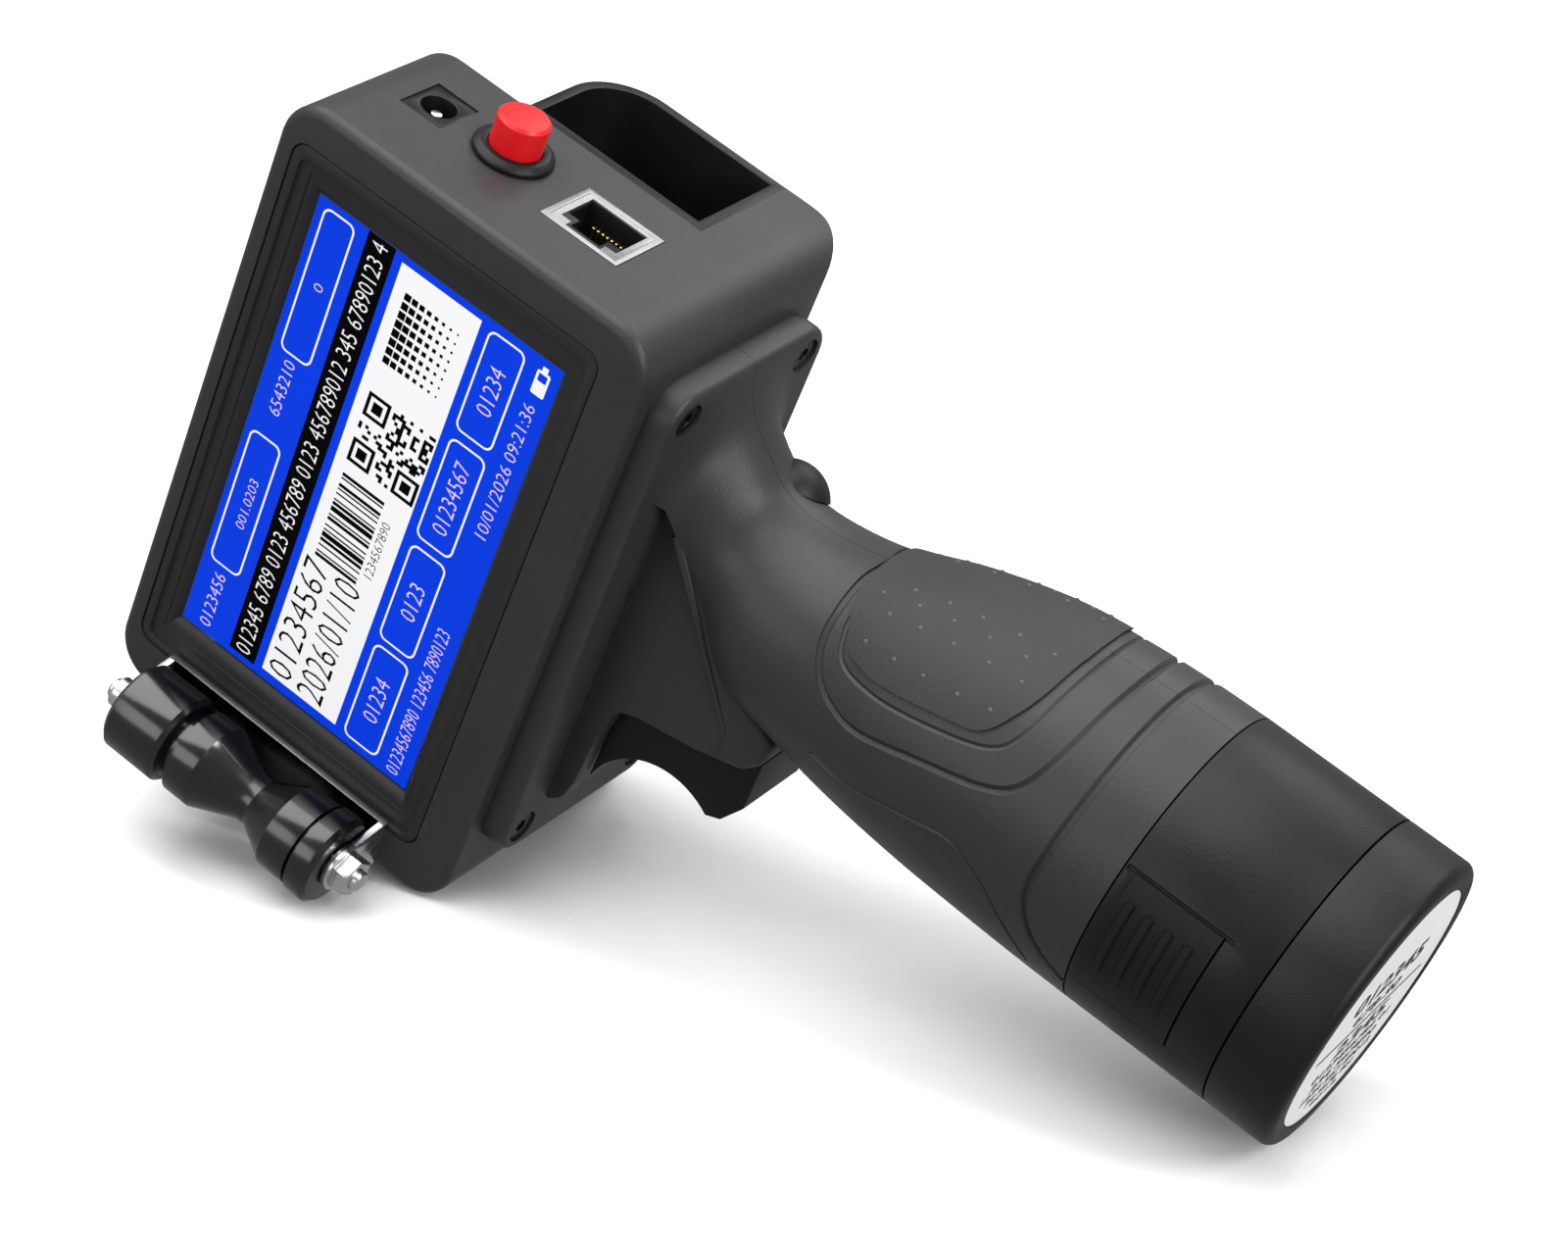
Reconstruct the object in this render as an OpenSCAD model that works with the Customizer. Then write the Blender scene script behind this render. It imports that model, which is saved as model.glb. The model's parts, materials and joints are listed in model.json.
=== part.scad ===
// Handheld date code inkjet printer: screen box, cartridge bay, pistol grip, battery and guide roller.
// Device axes: x runs from the box to the grip end, y from the screen to the back, z towards the sockets.
// x, z = 0 at the lower left corner of the lit screen area, y = 0 on the face of the glass.
// place() leans the device so that it stands on its box corner, its guide roller and its battery rim.

/* [Body] */
// Width of the screen box
body_w = 79.4; // [66:0.1:100]
// Height of the screen box
body_h = 128; // [106:0.1:155]
// Depth of the screen box, without the bay
body_d = 35.8; // [34:0.1:44]
// Depth that the cartridge bay adds behind the box
bay_d = 26; // [24:0.1:34]
// Wall thickness of the box
wall = 2.5; // [2:0.1:3]
// Radius of the box corners
corner_r = 8.5; // [6:0.1:11]
// Radius of the rear right edge
rear_edge_r = 12; // [6:0.1:14]
// Width of the grey strip that closes the bay on the grip side
strip_w = 17.2; // [14:0.1:21]

/* [Screen] */
// Width of the lit screen area
view_w = 53.9; // [44:0.1:56]
// Height of the lit screen area
view_h = 95; // [78:0.1:98]
// Depth of the glass below the box face
screen_recess = 2.5; // [1.6:0.1:4]
// Box edge to lit area on the left
view_left = 10.2; // [8:0.1:12]
// Box edge to lit area at the bottom
view_low = 17.2; // [14:0.1:19]
// Thickness of the touch glass
glass_t = 1.2; // [0.8:0.1:1.6]
// Thickness of the display module
lcd_t = 4; // [3:0.1:5]

/* [Sockets] */
// Width of the network socket face
net_w = 16.5; // [15:0.1:20]
// Depth of the network socket face
net_d = 13.9; // [13:0.1:15]
// Width of the power inlet face
inlet_w = 8.9; // [8:0.1:10]
// Depth of the power inlet face
inlet_d = 10.7; // [9:0.1:12]
// Radius of the power inlet bore
inlet_r = 3.2; // [2.5:0.05:3.5]
// Radius of the button collar
collar_r = 7.3; // [6.5:0.1:9]
// Radius of the red button cap
button_r = 4.7; // [3.5:0.1:5]
// Height of the red cap above the box
button_rise = 7.6; // [6:0.1:10]

/* [Grip] */
// Thickness of the grip's mounting plate
plate_t = 5; // [4:0.1:6]
// Width of the mounting plate, front to back
plate_w = 46.8; // [44:0.1:48]
// Height of the mounting plate
plate_h = 103.8; // [100:0.1:110]
// Distance of the plate screws, front to back
plate_screw_y = 35; // [30:0.1:37]
// Distance of the plate screws along the plate
plate_screw_z = 93; // [85:0.1:95]
// Wall of the grip round the battery stem
grip_wall = 5.3; // [4:0.1:8]
// Length of the grip from the box to the battery seam
grip_l = 105.8; // [103:0.1:112]
// Thickness of the trigger
trigger_w = 17.4; // [12:0.1:18]
// Pull of the trigger in degrees
trigger_pull = 8; // [5:0.5:8]

/* [Battery] */
// Length of the battery outside the grip
battery_l = 41; // [36:0.1:55]
// Length of the battery end cap
cap_l = 13; // [10:0.1:16]
// Wall of the battery stem inside the grip
stem_wall = 2.3; // [1.6:0.1:2.8]
// Length of the battery stem
stem_l = 29; // [24:0.1:30]
// Wall thickness of the battery
battery_wall = 2.2; // [1.6:0.1:2.6]
// Radius of one battery cell
cell_r = 9.1; // [7.5:0.1:11]
// Radius of the printed end label
label_r = 23.4; // [18:0.1:24.5]

/* [Guide roller] */
// Radius of the roller wheels
wheel_r = 8.9; // [7:0.1:11]
// Length of the whole roller between the ears
roller_l = 49; // [44:0.1:50]
// Radius of the roller waist
waist_r = 4.8; // [4:0.1:6]
// Radius of the roller axle
axle_r = 2; // [1.5:0.05:2.5]
// Sheet thickness of the bracket
sheet_t = 1.2; // [0.8:0.1:1.5]

/* [Hidden] */
$fn = 64;
eps = 0.01;
// Gap between pieces that only sit beside each other
gap = 0.3;
// Gap round a piece that slides out by hand
slide_gap = 0.5;
// Radial clearance of a running fit
run_gap = 0.06;

// Outer faces of the screen box
x_left = -view_left;
x_right = x_left + body_w;
z_low = -view_low;
z_top = z_low + body_h;
y_front = -screen_recess;
y_back = y_front + body_d;
y_rear = y_back + bay_d;
x_split = x_right - strip_w;

// Tube round the three battery cells, the stem outside it, and the grip round the stem
tube_r = cell_r + 2 * cell_r / sqrt(3) + 0.3;
stem_r = tube_r + stem_wall;
grip_r = stem_r + slide_gap + grip_wall;

// Grip plate and grip axis
plate_x = x_right + plate_t;
plate_y = 2.1;
plate_z = z_low + 14.7;
grip_y = plate_y + plate_w / 2;
grip_z = 69.1;
grip_end = x_right + grip_l;
screw_r = 1.5;
pilot_r = 1.3;
head_r = 2.9;

// Rings of the neck and grip: distance from the plate, height of the centre, radius
ring_step = [4.3, 13.8, 21.8, 34.4, 48.6, 63.8];
ring_z = [75, 68.3, 64.2, 64.4, 66.3, 68];
ring_r = [14.2, 14.8, 18, 20, grip_r - 4.5, grip_r - 1.9];

// Battery
battery_x = grip_end + gap;
battery_end = battery_x + battery_l;
cap_x = battery_end - cap_l;
stem_x = battery_x - stem_l;
dock_x = stem_x - 12.3;
rim_r = 2;

// Trigger pivot, finger scoop and slot
pivot_x = plate_x + 8.6;
pivot_z = 38;
slot_half = trigger_w / 2 + gap;
web_half = slot_half + 4.5;

// Guide roller
ear_gap = 0.4;
roller_x = 3.8;
axle_y = y_front - sheet_t - wheel_r - gap;
bracket_x0 = roller_x - ear_gap - sheet_t;
bracket_x1 = roller_x + roller_l + ear_gap + sheet_t;

// Standing pose: the lean at which box corner and battery rim are level, and the centred outline
corner_x = x_left + corner_r;
foot_x = x_right - corner_r;
foot_z = z_low + corner_r;
reach = battery_end - rim_r - foot_x;
rise = grip_z - grip_r + rim_r - foot_z;
tilt = asin((corner_r - rim_r) / sqrt(reach * reach + rise * rise)) + atan2(rise, reach);
low_point = -sin(tilt) * foot_x + cos(tilt) * foot_z - corner_r;
left_point = cos(tilt) * corner_x + sin(tilt) * foot_z - corner_r;
right_point = cos(tilt) * (battery_end - rim_r) + sin(tilt) * (grip_z + grip_r - rim_r) + rim_r;
front_point = axle_y - wheel_r;
// The roller's right wheel just clears the ground that the box corner stands on
wheel_chamfer = 0.9;
ground_gap = 0.1;
wheel_x = roller_x + roller_l - wheel_chamfer;
axle_z = (low_point + ground_gap + sin(tilt) * wheel_x) / cos(tilt) + wheel_r;

module place() {
    translate([-(left_point + right_point) / 2, -(front_point + y_rear) / 2, -low_point])
        rotate([0, tilt, 0])
            children();
}

// Plain shapes in device axes
module block(low, high) {
    translate(low) cube(high - low);
}

module rod_x(x0, x1, y, z, r) {
    translate([x0, y, z]) rotate([0, 90, 0]) cylinder(r = r, h = x1 - x0);
}

module rod_y(y0, y1, x, z, r) {
    translate([x, y0, z]) rotate([-90, 0, 0]) cylinder(r = r, h = y1 - y0);
}

module rod_z(z0, z1, x, y, r) {
    translate([x, y, z0]) cylinder(r = r, h = z1 - z0);
}

module cone_x(x0, x1, y, z, r0, r1) {
    translate([x0, y, z]) rotate([0, 90, 0]) cylinder(r1 = r0, r2 = r1, h = x1 - x0);
}

// Slab with round corners, seen along y
module slab_y(x0, x1, z0, z1, r, y0, y1) {
    block([x0 + r, y0, z0], [x1 - r, y1, z1]);
    block([x0, y0, z0 + r], [x1, y1, z1 - r]);
    for (x = [x0 + r, x1 - r], z = [z0 + r, z1 - r])
        rod_y(y0, y1, x, z, r);
}

// Slab with round corners, seen along x
module slab_x(y0, y1, z0, z1, r, x0, x1) {
    block([x0, y0 + r, z0], [x1, y1 - r, z1]);
    block([x0, y0, z0 + r], [x1, y1, z1 - r]);
    for (y = [y0 + r, y1 - r], z = [z0 + r, z1 - r])
        rod_x(x0, x1, y, z, r);
}

// Block whose rear edge on one side is round, seen along z
module round_rear(x0, x1, y0, y1, z0, z1, r, right) {
    cx = right ? x1 - r : x0 + r;
    block([x0, y0, z0], [x1, y1 - r, z1]);
    block([right ? x0 : cx, y0, z0], [right ? cx : x1, y1, z1]);
    intersection() {
        rod_z(z0, z1, cx, y1 - r, r);
        block([right ? cx : x0, y1 - r, z0], [right ? x1 : cx, y1, z1]);
    }
}

// Screen box
bezel_x0 = -6.25;
bezel_x1 = view_w + 6.55;
bezel_z0 = -7.95;
bezel_z1 = view_h + 8.25;
bezel_r = 3;
cover_t = 2.3;
boss_r = 4.4;
cover_boss_y = y_back - cover_t - 5.5;
inlet_x = 5.5;
inlet_y = 18.4;
button_x = 21;
button_y = 19.5;
net_x = 42.4;
net_y = 17.4;
barrel_r = 5.6;
wire_hole_r = 9;
wire_z = 68;
bracket_screw_x = [14, 42.6];
bracket_screw_z = z_low + 4.6;
pin_z = [for (i = [0 : 4]) 12 + 4 * i];
plate_screws_y = [grip_y - plate_screw_y / 2, grip_y + plate_screw_y / 2];
plate_screws_z = [plate_z + (plate_h - plate_screw_z) / 2, plate_z + (plate_h + plate_screw_z) / 2];
cover_screws_x = [x_left + corner_r - 1.4, x_split - 4.2];
cover_screws_z = [z_low + corner_r - 2.2, z_top - corner_r + 2.2];
board_posts = [[2, 14], [46, 14], [2, 88], [46, 88]];

module box_outline(inset) {
    r = corner_r - inset;
    grow = inset > 0 ? eps : 0;
    slab_y(x_left + inset, x_right - inset, z_low + inset, z_top - inset, r, y_front + inset, y_back + grow);
    intersection() {
        slab_y(x_left + inset, x_right - inset, z_low + inset, z_top - inset, r, y_back - 1, y_rear);
        round_rear(x_split + inset, x_right - inset, y_back - 1, y_rear - inset,
            z_low, z_top, rear_edge_r - inset, true);
    }
}

module main_housing() color([0.27, 0.27, 0.28]) place() {
    difference() {
        union() {
            difference() {
                box_outline(0);
                box_outline(wall);
            }
            for (y = plate_screws_y, z = plate_screws_z)
                rod_x(x_right - wall - 7, x_right - wall + eps, y, z, boss_r);
            for (x = cover_screws_x, z = cover_screws_z)
                rod_y(cover_boss_y, y_back - cover_t - gap / 3, x, z, boss_r);
        }
        slab_y(bezel_x0 - gap, bezel_x1 + gap, bezel_z0 - gap, bezel_z1 + gap, bezel_r + gap,
            y_front - 1, y_front + wall + eps);
        block([inlet_x - inlet_w / 2 - 0.1, inlet_y - inlet_d / 2 - 0.1, z_top - wall - 1],
            [inlet_x + inlet_w / 2 + 0.1, inlet_y + inlet_d / 2 + 0.1, z_top + 1]);
        block([net_x - net_w / 2 - 0.1, net_y - net_d / 2 - 0.1, z_top - wall - 1],
            [net_x + net_w / 2 + 0.1, net_y + net_d / 2 + 0.1, z_top + 1]);
        rod_z(z_top - wall - 1, z_top + 1, button_x, button_y, barrel_r + 0.1);
        for (y = plate_screws_y, z = plate_screws_z)
            rod_x(x_right - wall - 6, x_right + 1, y, z, pilot_r);
        for (x = cover_screws_x, z = cover_screws_z)
            rod_y(cover_boss_y - 1, y_back, x, z, pilot_r);
        for (x = bracket_screw_x)
            rod_y(y_front - 1, y_front + wall + 1, x, bracket_screw_z, pilot_r);
        rod_x(x_right - wall - 1, x_right + 1, grip_y, wire_z, wire_hole_r);
        block([x_split - 1, y_back + 8, pin_z[0] - 4], [x_split + wall + 1, y_back + 18, pin_z[4] + 4]);
    }
}

module rear_cover() color([0.2, 0.2, 0.21]) place() {
    x0 = x_left + wall + 0.1;
    x1 = x_split - 0.1;
    z0 = z_low + wall + 0.1;
    z1 = z_top - wall - 0.1;
    r = corner_r - wall;
    y0 = y_back - cover_t;
    difference() {
        union() {
            block([x0 + r, y0, z0], [x1, y_back, z1]);
            block([x0, y0, z0 + r], [x1, y_back, z1 - r]);
            for (z = [z0 + r, z1 - r])
                rod_y(y0, y_back, x0 + r, z, r);
            for (p = board_posts)
                rod_y(y0 - 4.6, y0 + eps, p[0], p[1], 2.8);
        }
        for (x = cover_screws_x, z = cover_screws_z) {
            rod_y(y0 - 1, y_back + 1, x, z, screw_r + 0.2);
            rod_y(y_back - 1.2, y_back + 1, x, z, head_r + 0.1);
        }
        for (p = board_posts)
            rod_y(y0 - 5, y0 + 1, p[0], p[1], 1);
    }
}

// Pan-head screw along y, head towards +y, with a cross slot
module screw_y(x, y_head, z, length) {
    difference() {
        union() {
            rod_y(y_head - length, y_head, x, z, pilot_r);
            rod_y(y_head - 1.1, y_head, x, z, head_r);
        }
        block([x - 1.6, y_head - 0.6, z - 0.3], [x + 1.6, y_head + 1, z + 0.3]);
        block([x - 0.3, y_head - 0.6, z - 1.6], [x + 0.3, y_head + 1, z + 1.6]);
    }
}

module cover_screws() color("dimgray") place() {
    for (x = cover_screws_x, z = cover_screws_z)
        screw_y(x, y_back - 0.1, z, 6);
}

glass_margin = 3.4;

module screen_bezel() color([0.16, 0.16, 0.17]) place() {
    lip = 0.4;
    difference() {
        union() {
            slab_y(bezel_x0, bezel_x1, bezel_z0, bezel_z1, bezel_r, y_front + 0.2, 0);
            slab_y(bezel_x0 - 0.9, bezel_x1 + 1.2, bezel_z0 - 1.8, bezel_z1 + 1.5, corner_r - wall, 0,
                glass_t + 0.5);
        }
        block([-lip, y_front - 1, -lip], [view_w + lip, 1, view_h + lip]);
        block([-2.4, y_front - 1, -3.4], [view_w + 2.4, y_front + 1.3, view_h + 3.4]);
        block([-glass_margin - 0.1, 0, -glass_margin - 0.1],
            [view_w + glass_margin + 0.1, glass_t + 1, view_h + glass_margin + 0.1]);
    }
}

module touch_glass() color([0.05, 0.25, 0.85]) place() {
    block([-glass_margin, 0, -glass_margin], [view_w + glass_margin, glass_t, view_h + glass_margin]);
}

module display_module() color("silver") place() {
    block([-2.8, glass_t, -3], [view_w + 2.8, glass_t + lcd_t, view_h + 3]);
}

board_y = y_back - cover_t - 4.6;

module main_board() color([0.05, 0.35, 0.15]) place() {
    difference() {
        block([x_left + 5, board_y - 1.6, z_low + 24], [x_right - 9, board_y, z_top - 11]);
        for (p = board_posts)
            rod_y(board_y - 2, board_y + 1, p[0], p[1], 1);
    }
}

// Sockets and button on the connector face
module power_inlet() color([0.06, 0.06, 0.06]) place() {
    difference() {
        union() {
            block([inlet_x - inlet_w / 2, inlet_y - inlet_d / 2, z_top - 13],
                [inlet_x + inlet_w / 2, inlet_y + inlet_d / 2, z_top - 0.2]);
            block([inlet_x - inlet_w / 2, inlet_y, z_top - 13.5],
                [inlet_x + inlet_w / 2, board_y - 1.6, z_top - wall - gap]);
        }
        rod_z(z_top - 9.5, z_top, inlet_x, inlet_y, inlet_r);
    }
}

module inlet_pin() color("silver") place() {
    rod_z(z_top - 9.5, z_top - 1.5, inlet_x, inlet_y, 1.05);
}

module button_collar() color([0.08, 0.08, 0.08]) place() {
    difference() {
        union() {
            rod_z(z_top, z_top + 0.9, button_x, button_y, collar_r);
            translate([button_x, button_y, z_top + 0.9])
                cylinder(r1 = collar_r, r2 = collar_r - 1.2, h = 0.9);
            rod_z(z_top - 9, z_top + eps, button_x, button_y, barrel_r);
        }
        rod_z(z_top - 8, z_top + 3, button_x, button_y, button_r + run_gap);
        rod_z(z_top - 10, z_top, button_x, button_y, 2.5);
    }
}

module button_nut() color("silver") place() {
    difference() {
        translate([button_x, button_y, z_top - wall - 2]) cylinder(r = 8, h = 2, $fn = 6);
        rod_z(z_top - wall - 3, z_top, button_x, button_y, barrel_r + 0.02);
    }
}

module power_button() color([0.85, 0.12, 0.12]) place() {
    rod_z(z_top - 3, z_top + button_rise - 0.5, button_x, button_y, button_r);
    translate([button_x, button_y, z_top + button_rise - 0.5 - eps])
        cylinder(r1 = button_r, r2 = button_r - 0.5, h = 0.5);
    rod_z(z_top - 10.2, z_top - 3 + eps, button_x, button_y, 1.2);
}

module button_spring() color("silver") place() {
    difference() {
        rod_z(z_top - 8, z_top - 3.05, button_x, button_y, 3.4);
        rod_z(z_top - 9, z_top - 2, button_x, button_y, 2.6);
    }
}

module button_switch() color([0.1, 0.1, 0.1]) place() {
    difference() {
        block([button_x - 4.5, button_y - 4.5, z_top - 19], [button_x + 4.5, button_y + 4.5, z_top - 9]);
        rod_z(z_top - 14, z_top - 8, button_x, button_y, 1.9);
    }
    block([button_x - 3, button_y + 4.5 - eps, z_top - 18], [button_x + 3, board_y - 1.6, z_top - 13]);
}

net_wall = 1.1;

module network_socket() color("silver") place() {
    x0 = net_x - net_w / 2;
    x1 = net_x + net_w / 2;
    y0 = net_y - net_d / 2;
    y1 = net_y + net_d / 2;
    difference() {
        block([x0, y0, z_top - 16], [x1, y1, z_top + 0.2]);
        block([x0 + net_wall, y0 + net_wall, z_top - 15], [x1 - net_wall, y1 - net_wall, z_top + 1]);
    }
}

key_w = 6.2;
plug_w = 11.9;
plug_d = 6.9;

module network_insert() color([0.05, 0.05, 0.05]) place() {
    x0 = net_x - net_w / 2 + net_wall;
    x1 = net_x + net_w / 2 - net_wall;
    y0 = net_y - net_d / 2 + net_wall;
    y1 = net_y + net_d / 2 - net_wall;
    difference() {
        block([x0, y0, z_top - 15], [x1, y1, z_top]);
        block([net_x - plug_w / 2, y1 - plug_d - 1.2, z_top - 12], [net_x + plug_w / 2, y1 - 1.2, z_top + 1]);
        block([net_x - key_w / 2, y0 + 1, z_top - 12], [net_x + key_w / 2, y1 - plug_d - 1.1, z_top + 1]);
    }
}

module network_contacts() color([0.85, 0.7, 0.3]) place() {
    y1 = net_y + net_d / 2 - net_wall - 1.2;
    for (i = [0 : 7])
        block([net_x - 3.75 + i, y1 - 0.6, z_top - 12], [net_x - 3.25 + i, y1, z_top - 4]);
}

// Cartridge bay
bay_wall = 2;
bay_x0 = 13;
bay_x1 = x_split;
bay_edge_r = 12;
cart_gap = 0.4;
cart_top = z_low + 86;
snout_x = [26, 40];
snout_y = [y_back + 8, y_back + 19];
face_t = 1.2;
floor_t = 2;

module bay_shape(inset, z0, z1) {
    round_rear(bay_x0 + inset, bay_x1 - inset, y_back + inset, y_rear - inset, z0, z1,
        bay_edge_r - inset, false);
}

module cartridge_bay() color([0.07, 0.07, 0.07]) place() {
    difference() {
        bay_shape(0, z_low, z_top);
        bay_shape(bay_wall, z_low + floor_t, z_top + 1);
        block([snout_x[0] - 0.5, snout_y[0] - 0.5, z_low - 1], [snout_x[1] + 0.5, snout_y[1] + 0.5, z_low + 3]);
        block([bay_x1 - bay_wall - 1, y_back + 8, pin_z[0] - 4], [bay_x1 + 1, y_back + 18, pin_z[4] + 4]);
        for (x = face_screw_x)
            rod_z(z_low - 1, z_low + floor_t + 1, x, face_screw_y, 0.9);
    }
}

contact_x = x_split + wall + gap / 3;

module contact_board() color([0.1, 0.3, 0.15]) place() {
    difference() {
        block([contact_x, y_back + 6, pin_z[0] - 8], [contact_x + 1.6, y_back + 20, pin_z[4] + 8]);
        for (z = pin_z, y = [y_back + 11, y_back + 15])
            rod_x(contact_x - 1, contact_x + 2, y, z, 0.6);
    }
}

module contact_pins() color([0.85, 0.7, 0.3]) place() {
    for (z = pin_z, y = [y_back + 11, y_back + 15])
        rod_x(bay_x1 - bay_wall - cart_gap + 0.35, contact_x + 1.6, y, z, 0.6);
}

module ink_cartridge() color([0.13, 0.13, 0.14]) place() {
    bay_shape(bay_wall + cart_gap, z_low + floor_t + cart_gap, cart_top);
    block([snout_x[0], snout_y[0], z_low - 0.4], [snout_x[1], snout_y[1], z_low + floor_t + cart_gap + eps]);
    block([bay_x0 + 12, y_back + 9, cart_top - eps], [bay_x1 - 12, y_back + 12, cart_top + 8]);
}

module nozzle_plate() color([0.8, 0.65, 0.3]) place() {
    block([snout_x[0] + 1, snout_y[0] + 1, z_low - 0.7], [snout_x[1] - 1, snout_y[1] - 1, z_low - 0.4]);
}

face_screw_x = [bay_x0 + 7, bay_x1 - 4];
face_screw_y = y_back + 5;

module face_plate() color("silver") place() {
    difference() {
        bay_shape(0.5, z_low - face_t, z_low);
        block([snout_x[0] - 1, snout_y[0] - 1, z_low - 3], [snout_x[1] + 1, snout_y[1] + 1, z_low + 1]);
        for (x = face_screw_x)
            rod_z(z_low - 2, z_low + 1, x, face_screw_y, 2);
    }
}

module face_screws() color("silver") place() {
    for (x = face_screw_x) {
        rod_z(z_low - face_t + 0.1, z_low, x, face_screw_y, 1.9);
        rod_z(z_low - eps, z_low + floor_t, x, face_screw_y, 0.9);
    }
}

// Grip
module ring(i, grow) {
    translate([plate_x + ring_step[i], grip_y, ring_z[i]])
        rotate([0, 90, 0])
            cylinder(r = ring_r[i] + grow, h = 0.2, $fn = 32);
}

module end_ring(grow) {
    translate([grip_end - 0.2, grip_y, grip_z])
        rotate([0, 90, 0])
            cylinder(r = grip_r + grow, h = 0.2, $fn = 32);
}

module neck_root() {
    for (dz = [-5, 5])
        translate([plate_x - 0.5, grip_y, ring_z[0] + dz])
            rotate([0, 90, 0])
                cylinder(r = 17, h = 0.5, $fn = 32);
}

module grip_outline() {
    hull() {
        neck_root();
        ring(0, 0);
    }
    for (i = [0 : 4])
        hull() {
            ring(i, 0);
            ring(i + 1, 0);
        }
    hull() {
        ring(5, 0);
        end_ring(0);
    }
}

// Thin rib between neck and plate that carries the trigger
module web() {
    translate([0, grip_y + web_half, 0])
        rotate([90, 0, 0])
            linear_extrude(2 * web_half)
                polygon([[plate_x - 0.5, 76], [plate_x + 26, 50], [plate_x + 37, 46], [plate_x + 37, 40],
                    [plate_x + 6, 33.5], [plate_x + 3.6, 12], [plate_x - 0.5, 6]]);
}

grip_screw_at = [[plate_x + 41.5, 46.9], [plate_x + 41.5, 81.8]];

// Hollows: cable way, dock room, battery well and trigger slot
module grip_hollows() {
    rod_x(x_right - 1, plate_x + 24, grip_y, wire_z, wire_hole_r);
    rod_x(plate_x + 22, plate_x + 48, grip_y, 65, 13.3);
    rod_x(plate_x + 48 - eps, dock_x, grip_y, grip_z - 1.8, 18.5);
    rod_x(dock_x - eps, grip_end + 1, grip_y, grip_z, stem_r + slide_gap);
    translate([0, grip_y + slot_half, 0])
        rotate([90, 0, 0])
            linear_extrude(2 * slot_half)
                polygon([[plate_x + 2.6, 8], [plate_x + 34.2, 8], [plate_x + 34.2, 50.5], [plate_x + 24, 53],
                    [plate_x + 2.6, 53]]);
}

module grip_body() {
    difference() {
        union() {
            slab_x(plate_y, plate_y + plate_w, plate_z, plate_z + plate_h, 6.5, x_right, plate_x);
            grip_outline();
            web();
        }
        grip_hollows();
        for (y = plate_screws_y, z = plate_screws_z) {
            rod_x(x_right - 1, plate_x + 1, y, z, screw_r + 0.2);
            rod_x(plate_x - 1.6, plate_x + 12, y, z, head_r + 0.2);
        }
        rod_y(grip_y - web_half + 1.5, grip_y + web_half - 1.5, pivot_x, pivot_z, 1.5);
    }
}

module grip_front() color([0.28, 0.28, 0.29]) place() {
    difference() {
        intersection() {
            grip_body();
            block([x_right - 1, plate_y - 1, z_low - 9], [grip_end + 1, grip_y - 0.05, z_top + 9]);
        }
        for (p = grip_screw_at)
            rod_y(grip_y - 8, grip_y + 1, p[0], p[1], pilot_r);
    }
}

module grip_rear() color([0.28, 0.28, 0.29]) place() {
    difference() {
        intersection() {
            grip_body();
            block([x_right - 1, grip_y + 0.05, z_low - 9], [grip_end + 1, y_rear + 9, z_top + 9]);
        }
        for (p = grip_screw_at) {
            rod_y(grip_y - 1, y_rear, p[0], p[1], screw_r + 0.2);
            rod_y(grip_y + 6, y_rear, p[0], p[1], head_r + 0.2);
        }
    }
}

module plate_screws() color("dimgray") place() {
    for (y = plate_screws_y, z = plate_screws_z)
        difference() {
            union() {
                rod_x(x_right - wall - 5.5, plate_x - 0.4, y, z, pilot_r);
                rod_x(plate_x - 1.6, plate_x - 0.4, y, z, head_r);
            }
            translate([plate_x - 1.2, y, z]) rotate([0, 90, 0]) cylinder(r = 1.3, h = 2, $fn = 6);
        }
}

module grip_screws() color("dimgray") place() {
    for (p = grip_screw_at)
        screw_y(p[0], grip_y + 7.1, p[1], 13);
}

module grip_pad() color([0.2, 0.2, 0.21]) place() {
    pad_t = 0.8;
    intersection() {
        difference() {
            pad_chain(pad_t);
            pad_chain(0.03);
        }
        block([plate_x + ring_step[3] + 2.4, grip_y - 19, ring_z[4] + 8],
            [plate_x + ring_step[5] + 11.5, grip_y + 19, ring_z[4] + 40]);
    }
}

module pad_chain(grow) {
    for (i = [3 : 4])
        hull() {
            ring(i, grow);
            ring(i + 1, grow);
        }
    hull() {
        ring(5, grow);
        end_ring(grow);
    }
}

module thumb_lobe() color([0.08, 0.08, 0.08]) place() {
    difference() {
        translate([plate_x + 12, grip_y + 6.3, 77.4]) sphere(r = 7.3);
        hull() {
            ring(0, 0.03);
            ring(1, 0.03);
        }
        hull() {
            ring(1, 0.03);
            ring(2, 0.03);
        }
        block([plate_x - 9, plate_y, 60], [plate_x + 0.03, plate_y + plate_w, 95]);
        hull() {
            neck_root();
            ring(0, 0.03);
        }
    }
}

// Trigger
module trigger() color([0.09, 0.09, 0.09]) place() {
    y0 = grip_y - trigger_w / 2;
    y1 = grip_y + trigger_w / 2;
    difference() {
        translate([0, y1, 0])
            rotate([90, 0, 0])
                linear_extrude(trigger_w)
                    polygon([[plate_x + 4.2, 43], [plate_x + 4.2, 14.6], [plate_x + 7.4, 14.6],
                        [plate_x + 30, 24.5], [plate_x + 33.1, 29.5], [plate_x + 33.1, 40],
                        [plate_x + 26, 43]]);
        rod_y(y0 - 1, y1 + 1, plate_x + 18.8, 11, 14.8);
        rod_y(y0 - 1, y1 + 1, pivot_x, pivot_z, 1.5 + run_gap);
    }
}

module trigger_pin() color("silver") place() {
    rod_y(grip_y - web_half + 1.6, grip_y + web_half - 1.6, pivot_x, pivot_z, 1.5);
}

switch_z = 47.8;

module trigger_switch() color([0.1, 0.1, 0.1]) place() {
    block([plate_x + 9, grip_y - slot_half, switch_z], [plate_x + 20, grip_y + slot_half, 52.9]);
}

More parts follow.
